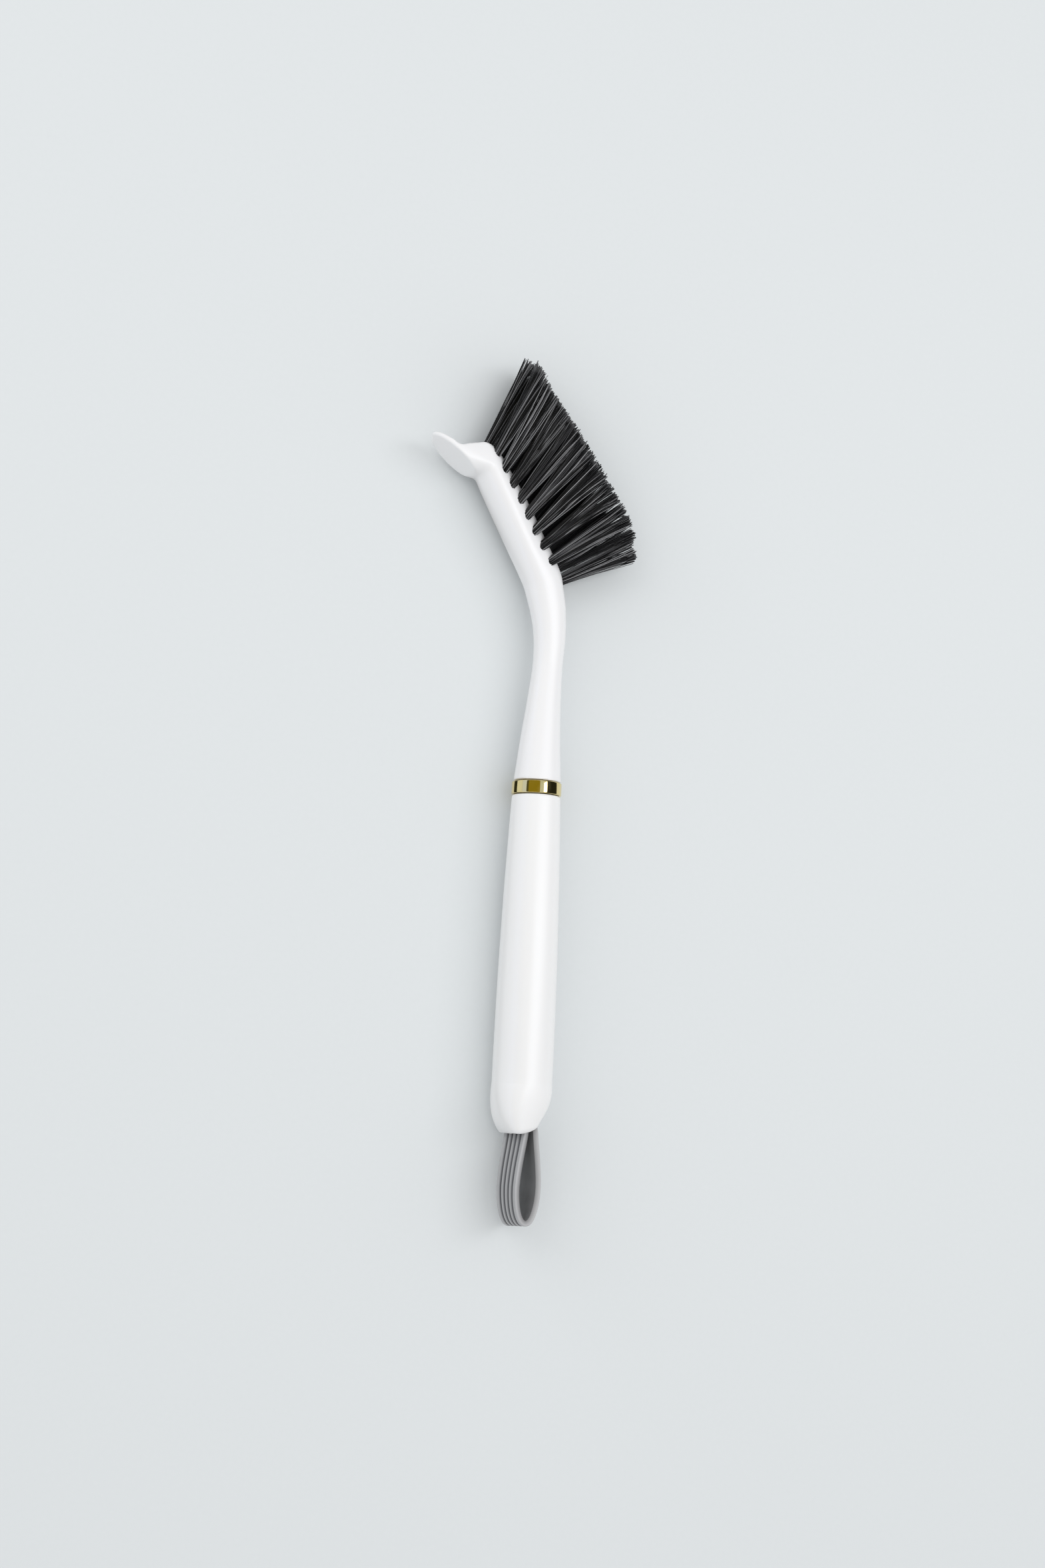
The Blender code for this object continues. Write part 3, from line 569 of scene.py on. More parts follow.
def handle_place(row, side):
    """Point of the handle: socket, end face, outside, rounded lip, mouth and slot."""
    angle = 2.0 * math.pi * side / HANDLE_SIDES
    if row < SOCKET_ROWS:
        y = (HANDLE_START_Y - TANG_LENGTH, HANDLE_START_Y - SOCKET_CHAMFER, HANDLE_START_Y)[row]
        radius = TANG_DIAMETER / 2 + TANG_RIB + (SOCKET_CHAMFER if row == SOCKET_ROWS - 1 else 0.0)
        return Vector((radius * math.cos(angle), y, radius * math.sin(angle)))
    row -= SOCKET_ROWS
    x, z = oblong(angle, MOUTH_MIDDLE, MOUTH_THICKNESS / 2, MOUTH_WIDTH / 2, MOUTH_CORNER)
    lift = LIP_START - LIP_UNEVENNESS * math.cos(angle)
    straight = HANDLE_LENGTH - DOME_LENGTH
    if row < STRAIGHT_ROWS:
        depth = straight * (row / STRAIGHT_ROWS) ** 1.5
        return handle_point(depth, angle, max(0.0, 1.0 - depth / TOP_EDGE_LENGTH) ** 2 * TOP_EDGE)
    row -= STRAIGHT_ROWS
    if row < DOME_ROWS:
        last = math.asin(1.0 - lift / DOME_LENGTH)
        return handle_point(straight + DOME_LENGTH * math.sin(last * row / DOME_ROWS), angle)
    row -= DOME_ROWS
    if row <= LIP_ROWS:
        outside = handle_point(HANDLE_LENGTH - lift, angle)
        before = handle_point(HANDLE_LENGTH - lift - LIP_STEP, angle)
        inside = Vector((x, end_level(x) + LIP_INSIDE, z))
        reach = (inside - outside).length
        first = outside + (outside - before).normalized() * reach * 0.5
        second = inside - Vector((0.0, reach * 0.35, 0.0))
        u = row / LIP_ROWS
        return (
            outside * (1 - u) ** 3 + first * 3 * u * (1 - u) ** 2
            + second * 3 * u * u * (1 - u) + inside * u ** 3
        )
    row -= LIP_ROWS + 1
    slot = oblong(angle, PIVOT.x, SLOT_THICKNESS / 2, STRAP_WIDTH / 2 + GAP, SLOT_CORNER)
    flare_low = PIVOT.y + LOOP_ROOT_DIAMETER / 4
    flare_high = PIVOT.y + LOOP_ROOT_DIAMETER / 2
    if row < MOUTH_ROWS:
        share = (row + 1) / MOUTH_ROWS
        low = end_level(x) + LIP_INSIDE
        return Vector((x, low + (flare_low - low) * share, z))
    if row == MOUTH_ROWS:
        return Vector((slot[0], flare_high, slot[1]))
    return Vector((slot[0], flare_high + TAIL_LENGTH + 2 * GAP, slot[1]))


def handle_piece():
    """The handle as one skin with a rounded lip where the strap comes out."""
    rows = SOCKET_ROWS + STRAIGHT_ROWS + DOME_ROWS + LIP_ROWS + 1 + MOUTH_ROWS + 1
    return finish_mesh("handle_moulding", skin(rows, HANDLE_SIDES, handle_place))


# Strap

STRAP_ROWS_PER_LEG = 44
STRAP_ROWS_ROUND = 64
STRAP_ACROSS = 90
STRAP_RIBBED = 66
STRAP_RIM = 0.32 * MM
STRAP_RIM_SEEN = 0.3 * MM
# Relief values for the finish: crests and rims paler as painted highlight, the inside face darker as
# painted shade
CREST_RELIEF = 0.93
INSIDE_SHADE_RELIEF = 0.7
TAILS_CLOSER = 0.35 * MM
EYE_OPENING = (
    (0.0, -0.06), (0.16, 0.1), (0.33, 0.31), (0.5, 0.54), (0.66, 0.74), (0.85, 0.92), (1.0, 1.0),
)
STRAP_DRIFT = 0.15 * MM
STRAP_DRIFT_LENGTH = 3.0 * MM
STRAP_SKEW = 0.05
MOUTH_TWIST = math.radians(10.0)
TWIST_START = 4.5 * MM
TWIST_REACH = 7.0 * MM
STRAP_SAG = 0.8 * MM


def strap_path():
    """Middle line (beside the axis, below the pivot) and outward direction, tail to tail."""
    wide = LOOP_EYE_WIDTH / 2 + STRAP_THICKNESS / 2
    straight = LOOP_LENGTH - LOOP_BOTTOM_LENGTH
    close = LOOP_ROOT_DIAMETER / 2 - STRAP_THICKNESS / 2 - STRAP_RIB_HEIGHT
    tail = LOOP_ROOT_DIAMETER / 2 + TAIL_LENGTH
    together = close - TAILS_CLOSER
    keys = [(-tail, together), (-0.5 * tail, together), (-LOOP_ROOT_DIAMETER / 2, together)]
    keys += [(straight * share, close + (wide - close) * opened) for share, opened in EYE_OPENING]
    leg = []
    for step in range(STRAP_ROWS_PER_LEG):
        depth = -tail + (straight + tail) * step / STRAP_ROWS_PER_LEG
        leg.append((smooth_through(keys, depth)[0], depth))
    bottom = []
    for step in range(STRAP_ROWS_ROUND + 1):
        angle = math.pi * step / STRAP_ROWS_ROUND
        bottom.append((wide * math.cos(angle), straight + LOOP_BOTTOM_LENGTH * math.sin(angle)))
    path = leg + bottom + [(-x, depth) for x, depth in reversed(leg)]
    stations = []
    for index, (x, depth) in enumerate(path):
        x0, depth0 = path[max(index - 1, 0)]
        x1, depth1 = path[min(index + 1, len(path) - 1)]
        tangent = Vector((x1 - x0, depth1 - depth0)).normalized()
        stations.append((x, depth, tangent.y, -tangent.x))
    return stations


STRAP_STATIONS = strap_path()


def strap_section(side):
    """Cross-section (outward, across) of the band: a smooth inside, round rims and ribs outside."""
    half = STRAP_WIDTH / 2
    if side <= STRAP_RIBBED:
        share = side / STRAP_RIBBED
        across = half - STRAP_WIDTH * share
        swing = abs(2.0 * ((share * STRAP_RIBS) % 1.0) - 1.0)
        height = (1.0 - swing ** 2.1) ** 0.68
        if min(share, 1.0 - share) * STRAP_RIBS < 0.5:
            # The outermost ribs run on into the rims
            height = 1.0 - 0.5 * max(0.0, 1.0 - min(share, 1.0 - share) * STRAP_WIDTH / STRAP_RIM) ** 2
        return (STRAP_THICKNESS / 2 + STRAP_RIB_HEIGHT * height, across)
    inside = (side - STRAP_RIBBED) / (STRAP_ACROSS - STRAP_RIBBED)
    across = -half + STRAP_WIDTH * inside
    edge = max(0.0, 1.0 - min(inside, 1.0 - inside) * STRAP_WIDTH / STRAP_RIM)
    return (-STRAP_THICKNESS / 2 + STRAP_RIM * edge ** 2, across)


def twist(point):
    """Turns a strap point about the handle's axis, most at the mouth, and lets the strap sag a little."""
    offset = point - PIVOT
    share = min(max(-offset.y / LOOP_LENGTH, 0.0), 1.0)
    turned = min(max((TWIST_START - offset.y) / TWIST_REACH, 0.0), 1.0)
    full = MOUTH_TWIST + (STRAP_TWIST - MOUTH_TWIST) * share
    angle = full * turned * turned * (3.0 - 2.0 * turned)
    drift = STRAP_DRIFT * min(max((STRAP_DRIFT_LENGTH - offset.y) / STRAP_DRIFT_LENGTH, 0.0), 1.0)
    return PIVOT + Vector((
        offset.x * math.cos(angle) + offset.z * math.sin(angle) + drift,
        offset.y + (offset.z * STRAP_SKEW - STRAP_SAG) * share ** 2,
        offset.z * math.cos(angle) - offset.x * math.sin(angle),
    ))


def strap_place(row, side):
    """Point of the band at a station along it and a place round its cross-section."""
    x, depth, out_x, out_depth = STRAP_STATIONS[row]
    outward, across = strap_section(side)
    return twist(PIVOT + Vector((x + outward * out_x, -depth - outward * out_depth, across)))


def strap_relief(_, side):
    """How far a place stands out, read by the finish as painted light and shade: 1 on the rims, a little
    less on the crests, 0 in the grooves; the inside face gets a set value for painted shade.
    """
    outward, across = strap_section(side)
    if abs(across) > STRAP_WIDTH / 2 - STRAP_RIM_SEEN:
        return 1.0
    if outward < 0.0:
        return INSIDE_SHADE_RELIEF
    return CREST_RELIEF * (outward - STRAP_THICKNESS / 2) / STRAP_RIB_HEIGHT


def strap_piece():
    """The ribbed band folded into a teardrop, both tails up in the slot."""
    shape = skin(len(STRAP_STATIONS) - 1, STRAP_ACROSS, strap_place, strap_relief)
    return finish_mesh("silicone_strap", shape, 50.0)


# Bristles

FILAMENT_RADIUS = 0.15 * MM
FILAMENTS = 112
TUFT_LOBE = 0.7 * MM
TUFT_LOBE_STRETCH = 1.75
TUFT_LOBES_APART = 0.8 * MM
TUFT_FLARE_ALONG = 4.7 * MM
TUFT_FLARE_ACROSS = 3.1 * MM
RESTING_HEIGHT = 11.05 * MM
FILAMENT_STATIONS = (0.06, 0.16, 0.3, 0.46, 0.64, 0.82, 1.0)
FOOT = 2.4 * MM
FLARE_POWER = 1.7
TIP_SLOPE_LIMIT = 0.05
TIP_TRIM = 0.8 * MM
TIP_LEAN = 0.8 * MM
OUTER_FLARE = 0.55
TIP_SCATTER = (0.2 * MM, 0.12 * MM)
BOW = (0.34 * MM, 0.2 * MM)
WAVE = 0.16 * MM
RAGGED = 0.4 * MM
STRAY_LENGTH = 0.9 * MM
SHADED_TONE = 0.5


def tuft_length(along):
    """Free length of the tuft at a place along the head."""
    if along > SIDE_ROW_START + 1.0 * MM:
        return TIP_TUFT_FREE_LENGTH
    if along < NECK_TUFT_PLACES[0]:
        return NECK_TUFT_FREE_LENGTH
    return TUFT_FREE_LENGTH


def trimmed_tip(along, side):
    """Middle of a tuft's trimmed tip."""
    limit = smooth_through(HEAD_SHAPE, HEAD_PLACE + along)[2] - SIDE_ROW_INSET
    place = tuft_frame(along, max(-limit, min(limit, side)))
    return place @ Vector((0.0, 0.0, tuft_length(along)))


def filament_mesh():
    """One straight filament of unit length: a square wire with a closed tip."""
    shape = bmesh.new()
    ring = bmesh.ops.create_circle(shape, cap_ends=False, segments=4, radius=FILAMENT_RADIUS)["verts"]
    edges = list({edge for vert in ring for edge in vert.link_edges})
    height = 0.0
    for share in FILAMENT_STATIONS:
        grown = bmesh.ops.extrude_edge_only(shape, edges=edges)["geom"]
        ring = [item for item in grown if isinstance(item, bmesh.types.BMVert)]
        edges = [item for item in grown if isinstance(item, bmesh.types.BMEdge)]
        bmesh.ops.translate(shape, vec=(0.0, 0.0, share - height), verts=ring)
        height = share
    bmesh.ops.contextual_create(shape, geom=edges)
    bmesh.ops.recalc_face_normals(shape, faces=shape.faces)
    mesh = bpy.data.meshes.new("filament")
    shape.to_mesh(mesh)
    shape.free()
    return mesh


FILAMENT = filament_mesh()


def tuft_piece(name, along, side, luck):
    """One bundle: its filaments leave the fold in two lobes, flare and end on the trim line."""
    place = tuft_frame(along, side)
    straight = place.inverted()
    before = straight @ trimmed_tip(max(along - TUFT_PITCH, NECK_TUFT_PLACES[1]), side)
    after = straight @ trimmed_tip(min(along + TUFT_PITCH, TIP_TUFT_PLACE), side)
    slope = (after.z - before.z) / (after.x - before.x)
    if name == "tip":
        slope = max(-TIP_SLOPE_LIMIT, min(TIP_SLOPE_LIMIT, slope))
    length = tuft_length(along) - (TIP_TRIM if name == "tip" else 0.0)
    inner = side == 0.0 and NECK_TUFT_PLACES[0] < along < SIDE_ROW_START
    outward = math.copysign(1.0, place.col[1].z * side) if side else 0.0
    shape = bmesh.new()
    strand = shape.loops.layers.uv.new("strand")
    for index in range(FILAMENTS):
        lobe = 1.0 if index % 2 else -1.0
        turn = luck.uniform(0.0, 2.0 * math.pi)
        spread = math.sqrt(luck.random())
        root = Vector((
            lobe * TUFT_LOBES_APART + TUFT_LOBE * spread * math.cos(turn),
            TUFT_LOBE * TUFT_LOBE_STRETCH * spread * math.sin(turn),
        ))
        tip = Vector((
            root.x / (TUFT_LOBES_APART + TUFT_LOBE) * TUFT_FLARE_ALONG * luck.uniform(0.8, 1.05),
            root.y / (TUFT_LOBE * TUFT_LOBE_STRETCH) * TUFT_FLARE_ACROSS * luck.uniform(0.8, 1.05),
        ))
        if tip.y * outward > 0.0:
            tip.y *= OUTER_FLARE
        tip += Vector((luck.gauss(0.0, TIP_SCATTER[0]), luck.gauss(0.0, TIP_SCATTER[1])))
        bow = Vector((luck.gauss(0.0, BOW[0]), luck.gauss(0.0, BOW[1])))
        wave = luck.gauss(0.0, WAVE)
        turned = luck.uniform(0.0, math.pi / 2)
        reach = length + slope * tip.x - abs(luck.gauss(0.0, RAGGED))
        if name == "tip" and index == 0:
            root.x = -TUFT_LOBES_APART - TUFT_LOBE
            tip.x = -TUFT_FLARE_ALONG
            reach = length + STRAY_LENGTH
        if name == "tip":
            tip.x += TIP_LEAN
        # Middle-row tufts get darker tones: painted shade for the shade between the side rows
        tone = luck.random() * (SHADED_TONE if inner else 1.0)
        shape.from_mesh(FILAMENT)
        shape.verts.ensure_lookup_table()
        shape.faces.ensure_lookup_table()
        for vert in shape.verts[-len(FILAMENT.vertices):]:
            share = vert.co.z
            middle = root.lerp(tip, share ** FLARE_POWER) + bow * math.sin(math.pi * share)
            across, beside = vert.co.x, vert.co.y
            vert.co.x = middle.x + across * math.cos(turned) - beside * math.sin(turned)
            vert.co.x += wave * math.sin(2.0 * math.pi * share)
            vert.co.y = middle.y + across * math.sin(turned) + beside * math.cos(turned)
            vert.co.z = -FOOT + (reach + FOOT) * share
        for face in shape.faces[-len(FILAMENT.polygons):]:
            for loop in face.loops:
                loop[strand].uv = (tone, loop.vert.co.z / length)
    shape.transform(place)
    for vert in shape.verts:
        vert.co.z = max(-RESTING_HEIGHT, min(RESTING_HEIGHT, vert.co.z))
    return finish_mesh("bristles_" + name, shape, 180.0)


# Finishes

def shader_of(name):
    """A new material with its node tree and its Principled shader."""
    material = bpy.data.materials.new(name)
    material.use_nodes = True
    tree = material.node_tree
    return material, tree, tree.nodes["Principled BSDF"]


def add(tree, kind, place, **settings):
    """A node with its settings; sockets are given by name."""
    made = tree.nodes.new(kind)
    made.location = place
    for key, value in settings.items():
        if hasattr(made, key):
            setattr(made, key, value)
        else:
            made.inputs[key.replace("_", " ").title()].default_value = value
    return made


def coordinates(tree, scale, place=(-1200, 0)):
    """Object coordinates scaled to a pattern."""
    where = add(tree, "ShaderNodeTexCoord", place)
    mapping = add(tree, "ShaderNodeMapping", (place[0] + 180, place[1]))
    mapping.inputs["Scale"].default_value = scale
    tree.links.new(where.outputs["Object"], mapping.inputs["Vector"])
    return mapping.outputs["Vector"]


def effect_group(name, inputs, outputs):
    """An empty node group with named sockets."""
    group = bpy.data.node_groups.new(name, "ShaderNodeTree")
    for label, kind, value in inputs:
        socket = group.interface.new_socket(name=label, in_out="INPUT", socket_type=kind)
        socket.default_value = value
    for label, kind in outputs:
        group.interface.new_socket(name=label, in_out="OUTPUT", socket_type=kind)
    entry = group.nodes.new("NodeGroupInput")
    entry.location = (-1400, 0)
    leave = group.nodes.new("NodeGroupOutput")
    leave.location = (600, 0)
    return group, entry, leave


def blend_colours(tree, place, factor, first, second, mode="MIX"):
    """Mixes two colours; each may be a socket or a plain value."""
    mix = add(tree, "ShaderNodeMix", place, data_type="RGBA", blend_type=mode)
    for socket, value in ((mix.inputs[0], factor), (mix.inputs[6], first), (mix.inputs[7], second)):
        if isinstance(value, bpy.types.NodeSocket):
            tree.links.new(value, socket)
        else:
            socket.default_value = value
    return mix.outputs[2]


def moulded_group():
    """Moulded surface: fine grain, slow unevenness, faint handling marks and a little grime."""
    group, entry, leave = effect_group(
        "moulded_surface",
        [("Colour", "NodeSocketColor", (0.8, 0.8, 0.8, 1.0)), ("Marks", "NodeSocketFloat", 0.5),
         ("Roughness", "NodeSocketFloat", 0.3)],
        [("Colour", "NodeSocketColor"), ("Roughness", "NodeSocketFloat"), ("Height", "NodeSocketFloat")],
    )
    grain = add(group, "ShaderNodeTexNoise", (-1000, 300), scale=2600.0, detail=3.0)
    slow = add(group, "ShaderNodeTexNoise", (-1000, 0), scale=42.0, detail=4.0)
    rubbed = add(group, "ShaderNodeTexNoise", (-1000, -300), scale=160.0, detail=6.0, distortion=0.6)
    where = add(group, "ShaderNodeTexCoord", (-1400, 300))
    for texture in (grain, slow, rubbed):
        group.links.new(where.outputs["Object"], texture.inputs["Vector"])
    shade = add(group, "ShaderNodeMapRange", (-700, 0))
    shade.inputs["From Min"].default_value = 0.3
    shade.inputs["From Max"].default_value = 0.75
    group.links.new(slow.outputs["Fac"], shade.inputs["Value"])
    strength = add(group, "ShaderNodeMath", (-500, 0), operation="MULTIPLY")
    group.links.new(shade.outputs["Result"], strength.inputs[0])
    group.links.new(entry.outputs["Marks"], strength.inputs[1])
    grime = (0.96, 0.957, 0.95, 1.0)
    dull = blend_colours(group, (-500, 200), 1.0, entry.outputs["Colour"], grime, "MULTIPLY")
    mixed = blend_colours(group, (-250, 200), strength.outputs[0], entry.outputs["Colour"], dull)
    group.links.new(mixed, leave.inputs["Colour"])
    marks = add(group, "ShaderNodeMapRange", (-700, -300))
    marks.inputs["From Min"].default_value = 0.45
    marks.inputs["From Max"].default_value = 0.7
    marks.inputs["To Max"].default_value = 0.16
    group.links.new(rubbed.outputs["Fac"], marks.inputs["Value"])
    rough = add(group, "ShaderNodeMath", (-450, -300), operation="MULTIPLY_ADD")
    group.links.new(marks.outputs["Result"], rough.inputs[0])
    group.links.new(entry.outputs["Marks"], rough.inputs[1])
    group.links.new(entry.outputs["Roughness"], rough.inputs[2])
    group.links.new(rough.outputs[0], leave.inputs["Roughness"])
    height = add(group, "ShaderNodeMath", (-450, 400), operation="MULTIPLY_ADD")
    height.inputs[1].default_value = 0.4
    group.links.new(grain.outputs["Fac"], height.inputs[0])
    group.links.new(slow.outputs["Fac"], height.inputs[2])
    group.links.new(height.outputs[0], leave.inputs["Height"])
    return group


MOULDED = moulded_group()


def place_group(tree, group, place, **values):
    """A group node with its input values."""
    node = tree.nodes.new("ShaderNodeGroup")
    node.node_tree = group
    node.location = place
    for key, value in values.items():
        node.inputs[key].default_value = value
    return node


def bump(tree, height, shader, strength, distance):
    """Turns a height into the shader's normal."""
    node = add(tree, "ShaderNodeBump", (-250, -300))
    node.inputs["Strength"].default_value = strength
    node.inputs["Distance"].default_value = distance
    tree.links.new(height, node.inputs["Height"])
    tree.links.new(node.outputs["Normal"], shader.inputs["Normal"])


def white_plastic(name, colour):
    """Glossy white moulded plastic."""
    material, tree, shader = shader_of(name)
    surface = place_group(tree, MOULDED, (-600, 0), Colour=colour, Marks=0.06, Roughness=0.31)
    tree.links.new(surface.outputs["Colour"], shader.inputs["Base Color"])
    tree.links.new(surface.outputs["Roughness"], shader.inputs["Roughness"])
    bump(tree, surface.outputs["Height"], shader, 0.05, 0.02 * MM)
    shader.inputs["IOR"].default_value = 1.5
    shader.inputs["Subsurface Weight"].default_value = 0.12
    shader.inputs["Subsurface Radius"].default_value = (0.9 * MM, 0.85 * MM, 0.8 * MM)
    shader.inputs["Subsurface Scale"].default_value = 1.0
    return material


def gold_plate():
    """Polished gold plating with fine turning lines and a few soft smudges."""
    material, tree, shader = shader_of("gold_plate")
    gold = (0.82, 0.69, 0.35, 1.0)
    surface = place_group(tree, MOULDED, (-600, 0), Colour=gold, Marks=0.2, Roughness=0.05)
    lines = add(tree, "ShaderNodeTexNoise", (-700, -300), scale=1.0, detail=2.0)
    tree.links.new(coordinates(tree, (300.0, 9000.0, 300.0), (-1200, -300)), lines.inputs["Vector"])
    tree.links.new(surface.outputs["Colour"], shader.inputs["Base Color"])
    tree.links.new(surface.outputs["Roughness"], shader.inputs["Roughness"])
    bump(tree, lines.outputs["Fac"], shader, 0.02, 0.01 * MM)
    shader.inputs["Metallic"].default_value = 1.0
    return material


def grey_silicone():
    """Soft grey silicone with painted light and shade: paler on its crests and rims as painted highlight,
    dark down in its grooves as painted shade with some grime, and a set darker tone on its inside face as
    painted shade.
    """
    material, tree, shader = shader_of("grey_silicone")
    relief = add(tree, "ShaderNodeAttribute", (-1300, 100), attribute_name="relief")
    # Ramp from the relief attribute: painted shade in the grooves and on the inside face, painted
    # highlight on crests and rims
    depth = add(tree, "ShaderNodeValToRGB", (-1100, 100))
    depth.color_ramp.elements[0].color = (0.035, 0.035, 0.038, 1.0)
    depth.color_ramp.elements[0].position = 0.1
    depth.color_ramp.elements[1].color = (0.5, 0.5, 0.51, 1.0)
    depth.color_ramp.elements[1].position = 1.0
    middle = depth.color_ramp.elements.new(0.6)
    middle.color = (0.14, 0.14, 0.145, 1.0)
    tree.links.new(relief.outputs["Fac"], depth.inputs["Fac"])
    surface = place_group(tree, MOULDED, (-600, 0), Marks=1.0, Roughness=0.36)
    tree.links.new(depth.outputs["Color"], surface.inputs["Colour"])
    tree.links.new(surface.outputs["Colour"], shader.inputs["Base Color"])
    tree.links.new(surface.outputs["Roughness"], shader.inputs["Roughness"])
    bump(tree, surface.outputs["Height"], shader, 0.2, 0.03 * MM)
    return material


def charcoal_nylon():
    """Charcoal filaments, each of its own tone, paler towards the cut tips."""
    material, tree, shader = shader_of("charcoal_nylon")
    strand = add(tree, "ShaderNodeUVMap", (-1200, 0), uv_map="strand")
    parts = add(tree, "ShaderNodeSeparateXYZ", (-1000, 0))
    tree.links.new(strand.outputs["UV"], parts.inputs["Vector"])
    tone = add(tree, "ShaderNodeValToRGB", (-800, 100))
    tone.color_ramp.elements[0].color = (0.006, 0.006, 0.007, 1.0)
    tone.color_ramp.elements[0].position = 0.35
    tone.color_ramp.elements[1].color = (0.36, 0.36, 0.37, 1.0)
    common = tone.color_ramp.elements.new(0.7)
    common.color = (0.062, 0.062, 0.066, 1.0)
    tree.links.new(parts.outputs["X"], tone.inputs["Fac"])
    cut = add(tree, "ShaderNodeMapRange", (-800, -200))
    cut.inputs["From Min"].default_value = 0.965
    cut.inputs["From Max"].default_value = 1.0
    cut.inputs["To Max"].default_value = 0.55
    tree.links.new(parts.outputs["Y"], cut.inputs["Value"])
    cut_tone = (0.16, 0.16, 0.165, 1.0)
    worn = blend_colours(tree, (-450, 0), cut.outputs["Result"], tone.outputs["Color"], cut_tone)
    speck = add(tree, "ShaderNodeTexNoise", (-800, -450), scale=1400.0, detail=2.0)
    tree.links.new(coordinates(tree, (1.0, 1.0, 1.0), (-1200, -450)), speck.inputs["Vector"])
    rough = add(tree, "ShaderNodeMapRange", (-450, -350))
    rough.inputs["To Min"].default_value = 0.26
    rough.inputs["To Max"].default_value = 0.46
    tree.links.new(speck.outputs["Fac"], rough.inputs["Value"])
    tree.links.new(worn, shader.inputs["Base Color"])
    tree.links.new(rough.outputs["Result"], shader.inputs["Roughness"])
    shader.inputs["IOR"].default_value = 1.34
    bump(tree, speck.outputs["Fac"], shader, 0.1, 0.02 * MM)
    return material


def anchor_wire():
    """Drawn steel wire."""
    material, tree, shader = shader_of("anchor_wire")
    drawn = add(tree, "ShaderNodeTexNoise", (-700, 0), scale=1.0, detail=3.0)
    tree.links.new(coordinates(tree, (2000.0, 400.0, 9000.0)), drawn.inputs["Vector"])
    dark, pale = (0.42, 0.42, 0.43, 1.0), (0.68, 0.68, 0.69, 1.0)
    tint = blend_colours(tree, (-400, 0), drawn.outputs["Fac"], dark, pale)
    rough = add(tree, "ShaderNodeMapRange", (-400, -250))
    rough.inputs["To Min"].default_value = 0.25
    rough.inputs["To Max"].default_value = 0.45
    tree.links.new(drawn.outputs["Fac"], rough.inputs["Value"])
    tree.links.new(tint, shader.inputs["Base Color"])
    tree.links.new(rough.outputs["Result"], shader.inputs["Roughness"])
    shader.inputs["Metallic"].default_value = 1.0
    return material


def dress(item, material):
    """Gives a piece its finish as its only material."""
    item.data.materials.clear()
    item.data.materials.append(material)


head_white = white_plastic("head_white", (0.90, 0.898, 0.905, 1.0))
handle_white = white_plastic("handle_white", (0.90, 0.90, 0.90, 1.0))
nylon = charcoal_nylon()
wire = anchor_wire()

head = head_piece()
dress(head, head_white)
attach(head, "brush")
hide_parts("head_and_neck")

ring = ring_piece()
dress(ring, gold_plate())
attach(ring, "brush")
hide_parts("collar_ring")

handle = handle_piece()
dress(handle, handle_white)
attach(handle, "brush")
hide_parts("handle")

strap = strap_piece()
dress(strap, grey_silicone())
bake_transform(strap)
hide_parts("hanging_loop", "loop_tail")

luck = random.Random(7)
for name, along, side in tuft_places():
    bristles = tuft_piece(name, along, side, luck)
    dress(bristles, nylon)
    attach(bristles, "brush")
    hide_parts("tuft_" + name)
    dress(frame["nodes"]["anchor_" + name], wire)


# Stage

def area_lamp(name, place, size, power):
    """A soft rectangular lamp that faces the middle of the floor."""
    data = bpy.data.lights.new(name, "AREA")
    data.shape = "RECTANGLE"
    data.size, data.size_y = size
    data.energy = power
    lamp = bpy.data.objects.new(name, data)
    bpy.context.scene.collection.objects.link(lamp)
    lamp.location = place
    lamp.rotation_euler = (-Vector(place)).to_track_quat("-Z", "Y").to_euler()


CARD_DISTANCE = 0.6
CARD_LENGTH = 2.4
# Dark strip just above the floor beside the handle: a painted shadow for the ring to mirror, standing in
# for the floor's shadow there
SHADOW_STRIP_START = Vector((-30.0, 0.0, -10.9)) * MM
SHADOW_STRIP_END = Vector((-16.0, 0.0, -10.9)) * MM


def around(degrees):
    """Place at the cards' distance from the handle's axis, at an angle from the bristle side upwards."""
    angle = math.radians(degrees)
    return Vector((math.cos(angle), 0.0, math.sin(angle))) * CARD_DISTANCE


def reflected_card(name, start, end, colour):
    """A long glowing card beside the handle's axis that only glossy surfaces see: a painted reflection."""
    half = Vector((0.0, CARD_LENGTH / 2, 0.0))
    shape = bmesh.new()
    corners = [
        shape.verts.new(ORIGIN + corner) for corner in (start - half, end - half, end + half, start + half)
    ]
    bmesh.ops.contextual_create(shape, geom=corners)
    mesh = bpy.data.meshes.new(name)
    shape.to_mesh(mesh)
    shape.free()
    card = bpy.data.objects.new(name, mesh)
    bpy.context.scene.collection.objects.link(card)
    material, _, shader = shader_of(name)
    shader.inputs["Base Color"].default_value = (0.0, 0.0, 0.0, 1.0)
    shader.inputs["Specular IOR Level"].default_value = 0.0
    shader.inputs["Emission Color"].default_value = colour
    shader.inputs["Emission Strength"].default_value = 1.0
    mesh.materials.append(material)
    card.visible_camera = False
    card.visible_diffuse = False
    card.visible_shadow = False


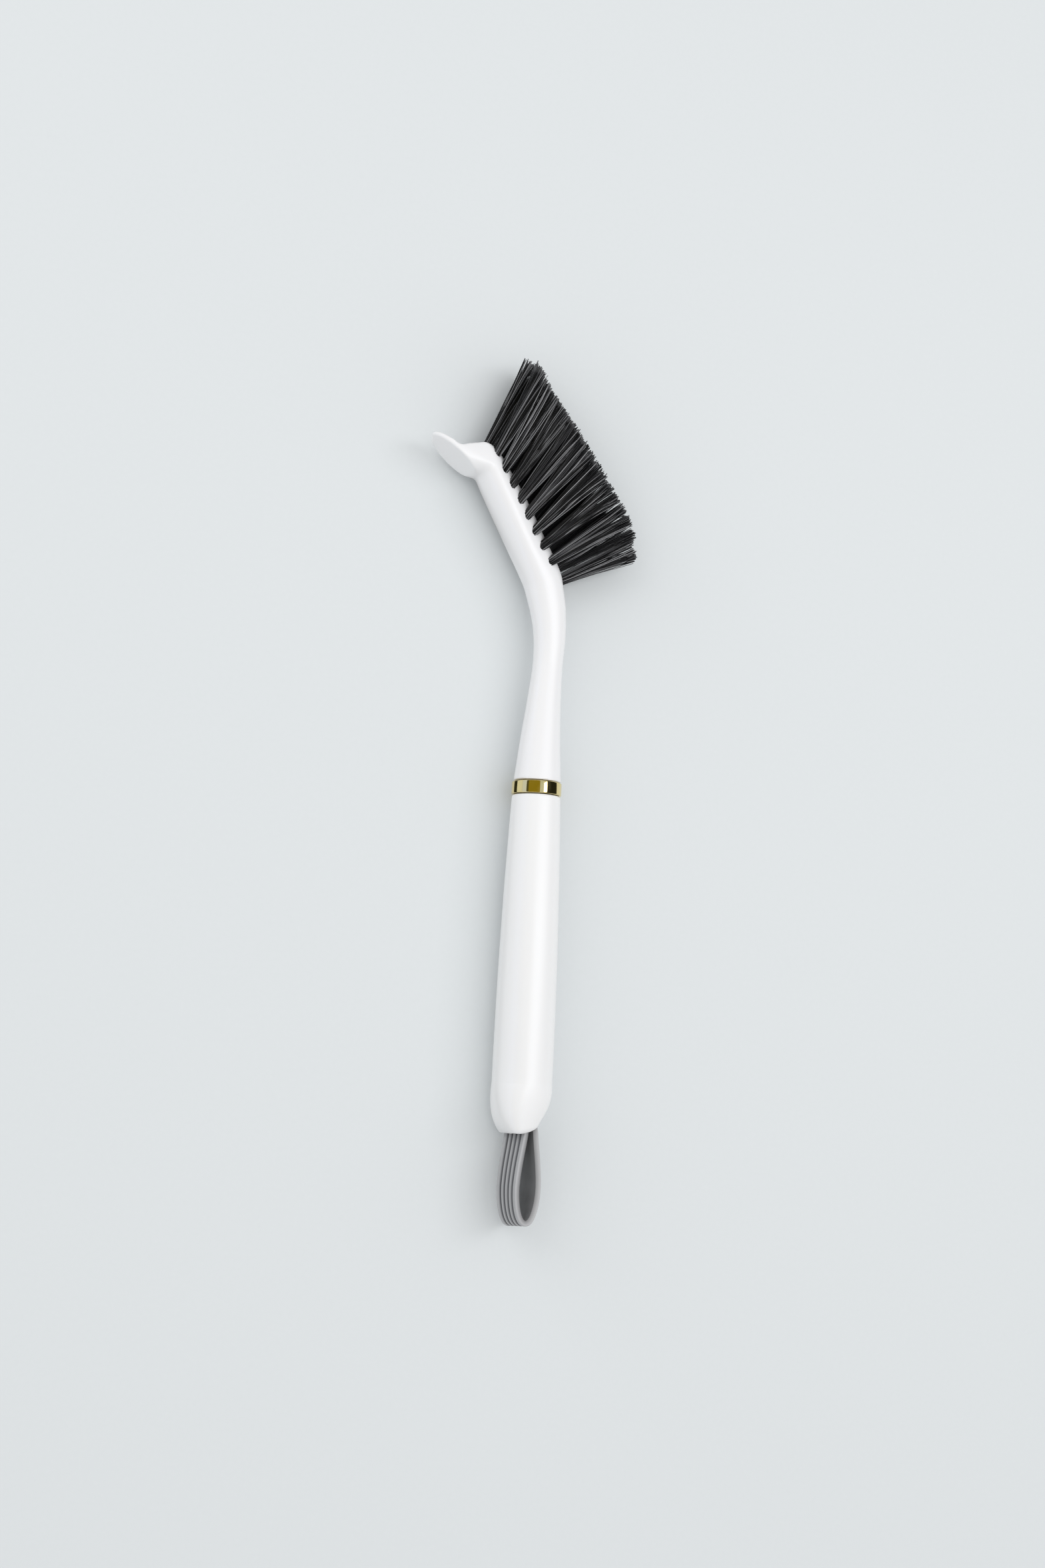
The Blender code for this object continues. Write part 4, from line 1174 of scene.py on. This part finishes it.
def floor_piece():
    """Wide pale floor with a faint paper tooth."""
    shape = bmesh.new()
    bmesh.ops.create_grid(shape, x_segments=1, y_segments=1, size=6.0)
    mesh = bpy.data.meshes.new("floor")
    shape.to_mesh(mesh)
    shape.free()
    floor = bpy.data.objects.new("floor", mesh)
    bpy.context.scene.collection.objects.link(floor)
    material, tree, shader = shader_of("floor_paper")
    tooth = add(tree, "ShaderNodeTexNoise", (-700, 0), scale=600.0, detail=2.0)
    tree.links.new(coordinates(tree, (1.0, 1.0, 1.0)), tooth.inputs["Vector"])
    dark, pale = (0.735, 0.764, 0.772, 1.0), (0.75, 0.779, 0.787, 1.0)
    tint = blend_colours(tree, (-400, 0), tooth.outputs["Fac"], dark, pale)
    tree.links.new(tint, shader.inputs["Base Color"])
    shader.inputs["Roughness"].default_value = 0.9
    shader.inputs["Specular IOR Level"].default_value = 0.0
    mesh.materials.append(material)


floor_piece()
world = bpy.data.worlds.new("studio")
bpy.context.scene.world = world
world.use_nodes = True
background = world.node_tree.nodes["Background"]
background.inputs["Color"].default_value = (0.985, 0.99, 1.0, 1.0)
background.inputs["Strength"].default_value = 0.70

area_lamp("key", (0.35, 0.1, 1.1), (0.4, 1.4), 4.4)
area_lamp("fill", (-0.85, 0.6, 0.65), (0.8, 1.2), 2.8)

# The polished ring mirrors these cards, from the bristle side over the top and down to the floor. Only
# glossy rays see them, each with its own glow and tint, so the bands they make are painted reflections
reflected_card("dark_card", around(4.0), around(60.0), (0.02, 0.02, 0.015, 1.0))
reflected_card("silver_card", around(76.0), around(94.0), (0.58, 0.62, 0.66, 1.0))
reflected_card("gilt_card", around(94.0), around(147.0), (0.27, 0.21, 0.02, 1.0))
reflected_card("olive_card", around(147.0), around(157.0), (0.08, 0.075, 0.03, 1.0))
reflected_card("cream_card", around(157.0), around(178.0), (0.66, 0.74, 0.98, 1.0))
# Painted shadow: the ring mirrors this dark strip where the floor lies in the handle's shadow
reflected_card("mirrored_shadow_strip", SHADOW_STRIP_START, SHADOW_STRIP_END, (0.03, 0.03, 0.02, 1.0))

CAMERA_OFFSET = Vector((-0.2713, -0.1044, 0.7453))
CAMERA_AIM = Vector((-0.00454, 0.00153, -0.00144))
CAMERA_ROLL = math.radians(2.9)
back_axis = (CAMERA_OFFSET - CAMERA_AIM).normalized()
right_axis = Vector((0.0, 1.0, 0.0)).cross(back_axis).normalized()
up_axis = back_axis.cross(right_axis)
camera_data = bpy.data.cameras.new("camera")
camera_data.lens = 55.0
camera_data.sensor_width = 36.0
camera = bpy.data.objects.new("camera", camera_data)
bpy.context.scene.collection.objects.link(camera)
rolled_right = right_axis * math.cos(CAMERA_ROLL) + up_axis * math.sin(CAMERA_ROLL)
rolled_up = up_axis * math.cos(CAMERA_ROLL) - right_axis * math.sin(CAMERA_ROLL)
turned = Matrix((rolled_right, rolled_up, back_axis)).transposed().to_4x4()
camera.matrix_world = Matrix.Translation(ORIGIN + CAMERA_OFFSET) @ turned
bpy.context.scene.camera = camera
bpy.context.scene.view_settings.view_transform = "Standard"
